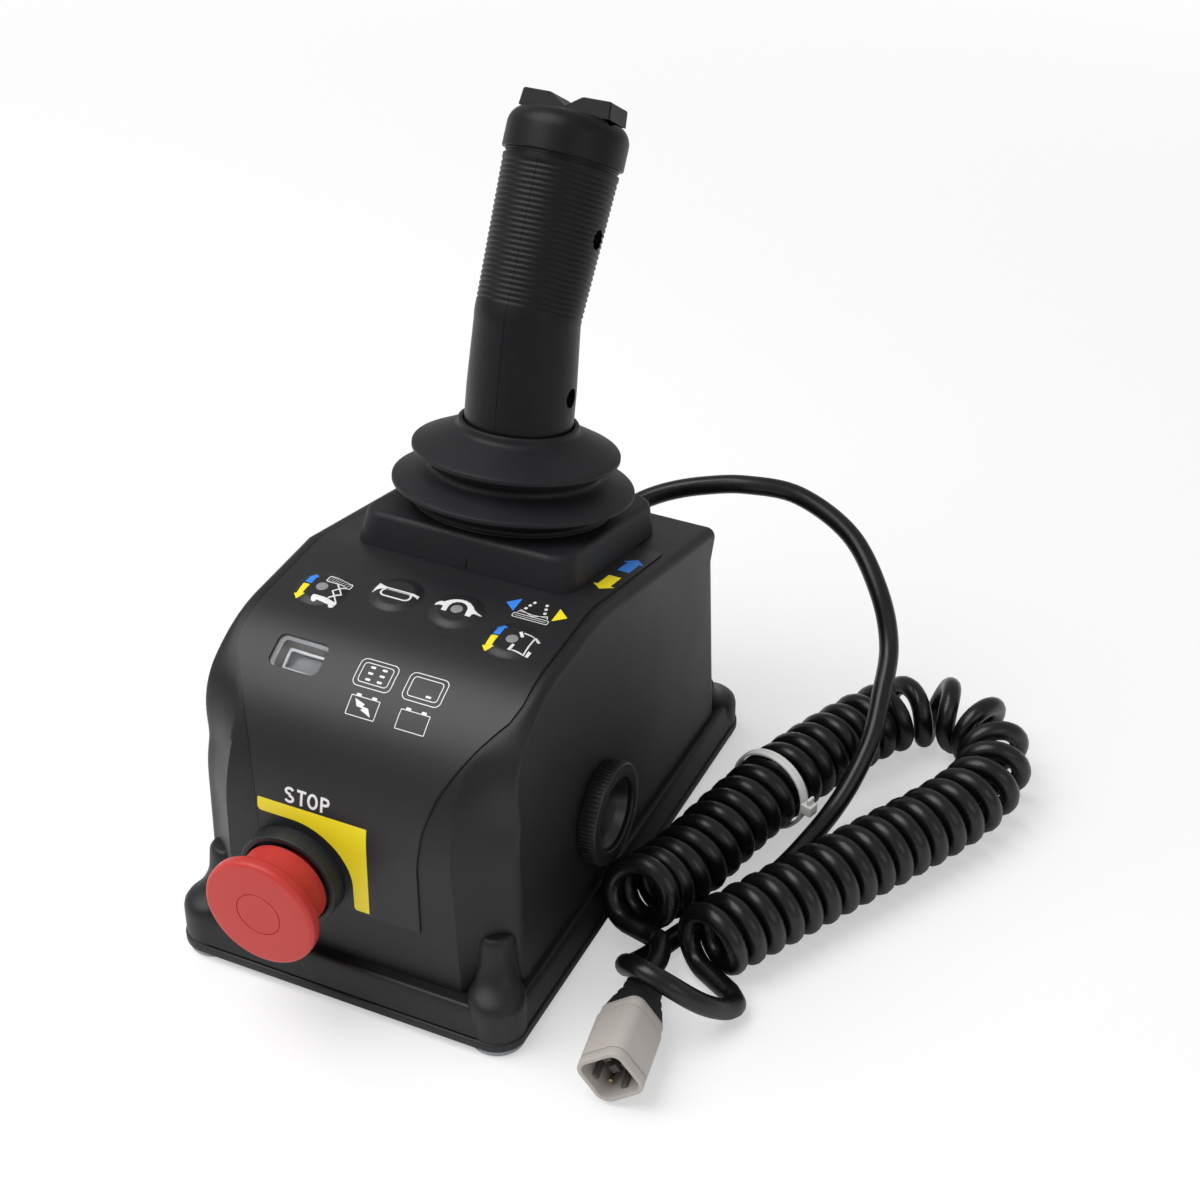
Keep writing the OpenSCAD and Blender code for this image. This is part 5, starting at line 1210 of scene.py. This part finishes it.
# Stop button
# A coral red mushroom head moulded with its neck, and a dark grey collar with a raised wall,
# held from inside by a ring nut. The head rides on the button's own travel.
red = moulded("stop button red", rgb(190, 48, 42), rgb(184, 58, 52), (0.4, 0.52), deep=0.015,
              drift=16, specular=0.42)
STEM_R, NECK_R, HEAD_R, HEAD_LOW, HEAD_TOP = 7.95, 14.6, 19.3, 18, 23
head_line = [(0, -8.2), (STEM_R - 0.35, -8.2), (STEM_R, -7.8), (STEM_R, 6.9), (14.2, 7.0),
             (NECK_R, 7.4)]
head_line += soften([(NECK_R, 8), (NECK_R, HEAD_LOW), (HEAD_R, HEAD_LOW), (HEAD_R, HEAD_TOP),
                     (7.85, HEAD_TOP)], 1.6, 6, False)[1:]
# A fine ring is pressed into the head's face.
head_line += [(7.8, HEAD_TOP - 0.04), (7.7, HEAD_TOP - 0.3), (7.5, HEAD_TOP - 0.3),
              (7.4, HEAD_TOP - 0.04), (7.35, HEAD_TOP), (0, HEAD_TOP)]
stop = as_piece("stop_button_head", *lathe(head_line, 96, at_stop, closed=False), red, 36)
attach(stop, "stop_button")
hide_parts("stop_head")
COLLAR_IN_R, THREAD_R, COLLAR_R, COLLAR_H, COLLAR_THICK = 8.05, 10.9, 17.0, 6.5, 2.0
collar_line = soften([(COLLAR_IN_R, -14), (THREAD_R, -14), (THREAD_R, 0), (COLLAR_R, 0),
                      (COLLAR_R, COLLAR_H), (COLLAR_R - COLLAR_THICK, COLLAR_H),
                      (COLLAR_R - COLLAR_THICK, 1.2), (COLLAR_IN_R, 1.2)], 0.45, 4)
collar = as_piece("stop_button_collar", *lathe(collar_line, 96, at_stop), moulded(
    "stop collar", rgb(32, 34, 37), rgb(42, 44, 47), (0.42, 0.54), specular=0.36), 36)
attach(collar, "housing")
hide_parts("stop_collar")

# Alarm
# A black sounder let into the side wall: a horn shaped opening in a threaded case, held by a
# ring with fine ribs round its edge.
gloss_black = moulded("alarm thermoplastic", rgb(26, 26, 28), rgb(34, 34, 36), (0.26, 0.38),
                      deep=0.012, specular=0.45)
RING_R, RING_H, RIB_EVERY = 17.0, 6.4, 5
ring_line = soften([(14.05, 0.05), (RING_R, 0.05), (RING_R, RING_H), (12.5, RING_H), (12.5, 5.0),
                    (14.05, 5.0)], 0.35, 3)
ring = as_piece("alarm_ring_body", *lathe(ring_line, 96, at_alarm), gloss_black, 36)
ribs = repeated("alarm_ring_ribs", block(0.8, 0.95, 0.7, 5.8, 0.3, 0.25, Matrix(), 2),
                [at_alarm @ turn("Z", a) @ shift(RING_R, 0, 0) for a in range(0, 360, RIB_EVERY)],
                gloss_black)
case_line = ([(0, -26)] + soften([(0, -26), (13.9, -26), (13.9, 4.9), (11.5, 4.9), (9.6, 2.0),
                                  (8.0, -2.5), (6.8, -8), (6.4, -12), (0, -12)], 0.4, 3, False)[1:])
case = as_piece("alarm_case_body", *lathe(case_line, 96, at_alarm, closed=False), gloss_black, 36)
for piece in (ring, ribs, case):
    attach(piece, "housing")
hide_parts("alarm_ring")
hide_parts("alarm_case")

# Gland
# A black nylon gland in the back wall: a thread through it, a hexagon, and a domed nut that
# grips the cord.
GLAND_SIDES = 60
gland_rings = [circle(r, z, GLAND_SIDES) for r, z in ((6, -8), (6, 0))]
gland_rings += [hexagon(r, z, GLAND_SIDES)
                for r, z in ((7.38, 0.0), (7.74, 0.4), (7.74, 4.1), (7.38, 4.5))]
gland_rings += [circle(r, z, GLAND_SIDES) for r, z in (
    (7.4, 4.5), (7.4, 11), (7.1, 13.4), (6.3, 15.2), (5.2, 16), (3.55, 16), (3.5, 14))]
gland = as_piece("cord_gland_body", *stack(gland_rings, at_gland), gloss_black, 36)
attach(gland, "housing")
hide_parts("cord_gland")

# Rubber boot
# A moulded EPDM boot: a square foot clamped over the joystick's base, and two folds up to a
# collar that grips the handle. The foot goes with the housing; the folds stay where they are made.
FLANGE_W, FLANGE_D, FLANGE_H, FLANGE_TAPER = 78, 74.5, 12, 1.2
FLANGE_BORE_R, FOLDS_TOP = 31, 38
rubber = moulded("boot rubber", rgb(20, 20, 23), rgb(30, 30, 33), (0.46, 0.6), grain=2000,
                 deep=0.03, drift=18, specular=0.26)
flange_rings = [rounded_rect(FLANGE_W - 2 * i, FLANGE_D - 2 * i, r, z, 8) for i, z, r in (
    (0.0, SHEET_TOP, 7.5), (0.05, 1.2, 7.5), (FLANGE_TAPER, FLANGE_H - 2.2, 8.2),
    (FLANGE_TAPER + 0.25, FLANGE_H - 1.2, 8.2), (FLANGE_TAPER + 0.9, FLANGE_H - 0.4, 8.0),
    (FLANGE_TAPER + 2.0, FLANGE_H, 7.4))]
at_mould_line = at_stick @ shift(3, -FLANGE_D / 2 + 0.3, 0)
flange = as_piece("boot_foot", *stack(flange_rings, at_stick), rubber)
flange = evened(carved(flange, [], [
    slab(FLANGE_W - 10, FLANGE_D - 10, 5, -1, FLANGE_H - 3, at_stick),
    drum(FLANGE_BORE_R, -1, FLANGE_H + 1, at_stick, 96),
    slab(0.35, 0.6, 0.1, SHEET_TOP + 0.6, FLANGE_H - 1.4, at_mould_line)]), 34)
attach(flange, "housing")
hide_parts("boot_flange")
fold_outside = [(34.6, 12), (31.8, 13.8, 1.2), (40.3, 18.3), (40.3, 19.7), (26.8, 24.9, 1.6),
                (34.5, 30.1), (34.5, 31.5), (20.2, 38.2, 2.0), (19.9, 40.8)]
fold_inside = [(18.3, 40.8), (18.3, 36.7, 1.0), (31.2, 30.8), (25.0, 24.9, 1.0), (36.9, 19.0),
               (30.0, 13.8, 0.6), (30.0, 12)]
corners = soften(fold_outside + fold_inside, 0.55, 4)
fold_line = []
for (r0, z0), (r1, z1) in zip(corners, corners[1:] + corners[:1]):
    count = max(1, int(math.hypot(r1 - r0, z1 - z0) / 1.5))
    fold_line += [(r0 + (r1 - r0) * k / count, z0 + (z1 - z0) * k / count) for k in range(count)]
folds = as_piece("boot_folds", *lathe(fold_line, 120, at_stick), rubber, 50)
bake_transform(folds)
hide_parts("boot_bellows")

# Handle
# Two halves in black glass-filled nylon, joined by two screws from the side: a smooth foot, a
# bend, and a grip with fine ribs. The halves meet in a line that runs up the handle's front.
BEND_W, GRIP_LEAN, GRIP_L, HANDLE_R, WAIST_R = 75.9, 18.6, 49, 18, 17.2
FOOT_W, SCREW_W, SCREW_D, BEND_R, GRIP_R, RIBS, RIB_PITCH = 36.5, 52, 28, 17.3, 19, 26, 1.75
SHAFT_HOLE_R, FOOT_HOLLOW_R, GRIP_HOLLOW_R, RECESS_R, SEAM = 8.1, 14.2, 12, 3.25, 0.14
PIN_R, PIN_BACK, PIN_UP = 1.4, 14.8, 38
at_grip = at_stick @ shift(0, 0, BEND_W) @ turn("X", -GRIP_LEAN)
handle_black = moulded("handle nylon", rgb(9, 9, 12), rgb(18, 18, 21), (0.34, 0.48), grain=2200,
                       deep=0.025, drift=20, specular=0.22)
foot_line = [(0, FOOT_W), (HANDLE_R - 1, FOOT_W), (HANDLE_R, FOOT_W + 1), (HANDLE_R, SCREW_W),
             (WAIST_R, BEND_W), (0, BEND_W)]
bend_ball = [(0, -BEND_R)] + bow(0, 0, BEND_R, BEND_R, range(-84, 90, 6)) + [(0, BEND_R)]
grip_line = [(0, 0), (BEND_R, 0)]
for i in range(RIBS):
    z = 1.5 + RIB_PITCH * i
    r = BEND_R + (GRIP_R - BEND_R) * z / GRIP_L
    grip_line += [(r, z), (r + 0.02, z + 0.6), (r - 0.18, z + 0.95), (r - 0.28, z + 1.15),
                  (r - 0.18, z + 1.35)]
grip_line += [(GRIP_R, GRIP_L - 1.6), (GRIP_R, GRIP_L - 0.2), (GRIP_R - 0.2, GRIP_L), (0, GRIP_L)]
at_handle_screws = [at_stick @ shift(0, 0, SCREW_W) @ turn("Y", -90),
                    at_grip @ shift(0, 0, SCREW_D) @ turn("Y", -90)]
handle = as_piece("handle_halves", *lathe(foot_line, 120, at_stick, closed=False), handle_black)
handle = carved(handle, [lathe(bend_ball, 120, at_grip, closed=False),
                         lathe(grip_line, 120, at_grip, closed=False)], [])
# Cut out: the shaft's hole, the hollows, the trigger's slot and pin, the recesses, the seam.
handle = evened(carved(handle, [], [
    drum(SHAFT_HOLE_R, FOOT_W - 1, 60, at_stick), drum(FOOT_HOLLOW_R, 60, 74, at_stick),
    drum(GRIP_HOLLOW_R, -2, GRIP_L + 1, at_grip),
    slab(16.6, 24, 1, 2.7, 42, at_grip @ shift(0, 12, 0)),
    drum(PIN_R, -12, 12, at_grip @ shift(0, PIN_BACK, PIN_UP) @ turn("Y", 90), 24)]
    + [drum(RECESS_R, -40, -12, p, 40) for p in at_handle_screws]
    + [slab(SEAM, 60, 0.04, FOOT_W - 1, BEND_W + 4, at_stick),
       slab(SEAM, 60, 0.04, -4, GRIP_L + 1, at_grip)]), 34)
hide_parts("handle_left", "handle_right")
handle_screws = repeated("handle_socket_screws", socket_screw(3.1, 2.2, 1.3, 1.45, 19),
                         [p @ shift(0, 0, -12) for p in at_handle_screws], bright_zinc)
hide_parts("handle_screws")
for piece, kind in ((handle, "handle"), (handle_screws, "fixings")):
    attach(piece, "joystick")


# Cap, rocker, trigger
# The cap closes the top: two fine grooves under its edge, a rounded shoulder and a slot across
# it for the rocker, which steers left and right with the thumb.
CAP_H, PIN_DOWN = 16, 5


def plate_of(outline, thick, edge, place):
    """An outline made a plate along Z, its two rims softened."""
    middle = sum((Vector(p) for p in outline), Vector((0, 0))) / len(outline)
    rings = []
    for z, inward in ((-thick / 2, edge), (edge - thick / 2, 0), (thick / 2 - edge, 0),
                      (thick / 2, edge)):
        rings.append([(*(Vector(p) + (middle - Vector(p)).normalized() * inward), z)
                      for p in outline])
    return stack(rings, place)


at_cap = at_grip @ shift(0, 0, GRIP_L)
at_rocker_pin = at_cap @ shift(0, 0, CAP_H - PIN_DOWN) @ turn("X", 90)
cap_line = [(0, -3), (11.8, -3), (11.8, 0), (18.1, 0.02), (18.1, 0.9), (18.55, 0.9), (18.55, 1.8),
            (19.7, 1.8), (19.9, 2.1), (19.9, 9.5)]
cap_line += bow(13.4, 9.5, 6.5, 6.5, range(9, 91, 9)) + [(0, CAP_H)]
cap = as_piece("handle_cap_body", *lathe(cap_line, 120, at_cap, closed=False), handle_black)
cap = evened(carved(cap, [], [slab(33.6, 15.6, 0.5, 13.47, 20, at_cap),
                              drum(3.9, -7.8, 7.8, at_rocker_pin, 40),
                              drum(1.55, -9.5, 9.5, at_rocker_pin, 24)]), 34)
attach(cap, "joystick")
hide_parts("handle_cap")
rocker_line = soften([(-16.0, -0.4, 0.1), (16.0, -0.4, 0.1), (15.4, 5.2, 0.8), (5.8, 5.2, 1.2),
                      (0, 0.9, 0.8), (-5.8, 5.2, 1.2), (-15.4, 5.2, 0.8)], 0.3, 5)
hub = bow(0, -PIN_DOWN, 3.6, 3.6, range(-215, 36, 10)) + [(3.5, -0.3), (-3.5, -0.3)]
at_rocker = at_cap @ shift(0, 0, CAP_H) @ turn("X", 90)
rocker = as_piece("steer_rocker_body", *plate_of(rocker_line, 15, 0.45, at_rocker), handle_black, 30)
rocker = evened(carved(rocker, [plate_of(hub, 14.9, 0.2, at_rocker)],
                       [drum(1.6, -9, 9, at_rocker_pin, 24)]), 30)
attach(rocker, "steer")
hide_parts("steer_rocker")

# The enable trigger on the back of the grip, a curved lever on its own pin. Its outline is drawn
# with X out of the grip's back and Y up the grip.
trigger_line = soften([(15.2, 4, 0.4), (20.6, 4, 1.0), (21.6, 5.5, 1.0), (21.4, 13, 20),
                       (20.6, 21, 20), (18.2, 41.4, 2.4), (13.1, 41.4, 1.0), (13.1, 34.6, 0.4)],
                      1.0, 5)
at_trigger = at_grip @ Matrix(((0, 0, 1, 0), (1, 0, 0, 0), (0, 1, 0, 0), (0, 0, 0, 1)))
trigger = as_piece("enable_trigger_lever", *plate_of(trigger_line, 16, 0.7, at_trigger),
                   handle_black, 30)
trigger = evened(carved(trigger, [], [
    drum(PIN_R, -9, 9, at_trigger @ shift(PIN_BACK, PIN_UP, 0), 24)]), 30)
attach(trigger, "trigger")
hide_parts("enable_trigger")

# Floor, world and lamps
# A white studio floor that keeps the soft shadow, one large soft lamp above and to the left, and
# a weak one on the right. The camera sees the floor glow, and fully white from 1 m away.
paper = bpy.data.materials.new("studio floor")
paper.use_nodes = True
paper_tree = paper.node_tree
paper_shader = paper_tree.nodes["Principled BSDF"]
for label, value in (("Base Color", (0.97, 0.97, 0.97, 1)), ("Roughness", 0.9),
                     ("Specular IOR Level", 0.1)):
    paper_shader.inputs[label].default_value = value
seen_by = paper_tree.nodes.new("ShaderNodeLightPath")
glow = paper_tree.nodes.new("ShaderNodeEmission")
paler = paper_tree.nodes.new("ShaderNodeMixShader")
paper_place = paper_tree.nodes.new("ShaderNodeTexCoord")
away = paper_tree.nodes.new("ShaderNodeVectorMath")
away.operation = "LENGTH"
paper_tree.links.new(paper_place.outputs["Object"], away.inputs[0])
whiter = spread(paper_tree, away.outputs["Value"], 0.45, 1.0, first=0.3, last=1.0)
paper_tree.links.new(worked(paper_tree, "MULTIPLY", seen_by.outputs["Is Camera Ray"], whiter),
                     paler.inputs["Fac"])
paper_tree.links.new(paper_shader.outputs["BSDF"], paler.inputs[1])
paper_tree.links.new(glow.outputs["Emission"], paler.inputs[2])
paper_tree.links.new(paler.outputs["Shader"], paper_tree.nodes["Material Output"].inputs["Surface"])
floor = as_piece("studio_floor", [(-3000, -3000, 0), (3000, -3000, 0), (3000, 3000, 0),
                                  (-3000, 3000, 0)], [(0, 1, 2, 3)], paper)

world = bpy.data.worlds.new("studio")
bpy.context.scene.world = world
world.use_nodes = True
sky = world.node_tree
soft, white, mixed = (sky.nodes["Background"], sky.nodes.new("ShaderNodeBackground"),
                      sky.nodes.new("ShaderNodeMixShader"))
for light, strength in ((soft, 0.46), (white, 1.0)):
    light.inputs["Color"].default_value = (1, 1, 1, 1)
    light.inputs["Strength"].default_value = strength
rays = sky.nodes.new("ShaderNodeLightPath")
sky.links.new(rays.outputs["Is Camera Ray"], mixed.inputs["Fac"])
sky.links.new(soft.outputs["Background"], mixed.inputs[1])
sky.links.new(white.outputs["Background"], mixed.inputs[2])
sky.links.new(mixed.outputs["Shader"], sky.nodes["World Output"].inputs["Surface"])

for name, at, size, power in (("main lamp", (-0.55, -0.35, 1.25), 1.3, 17.0),
                              ("side lamp", (1.15, -0.5, 0.7), 0.8, 1.6)):
    lamp = bpy.data.lights.new(name, "AREA")
    lamp.shape, lamp.size, lamp.energy = "DISK", size, power
    stand = in_scene(name, lamp)
    stand.location = at
    aim = Vector((0.03, 0, 0.08)) - Vector(at)
    stand.rotation_euler = aim.to_track_quat("-Z", "Y").to_euler()
bpy.context.scene.view_settings.view_transform = "Standard"
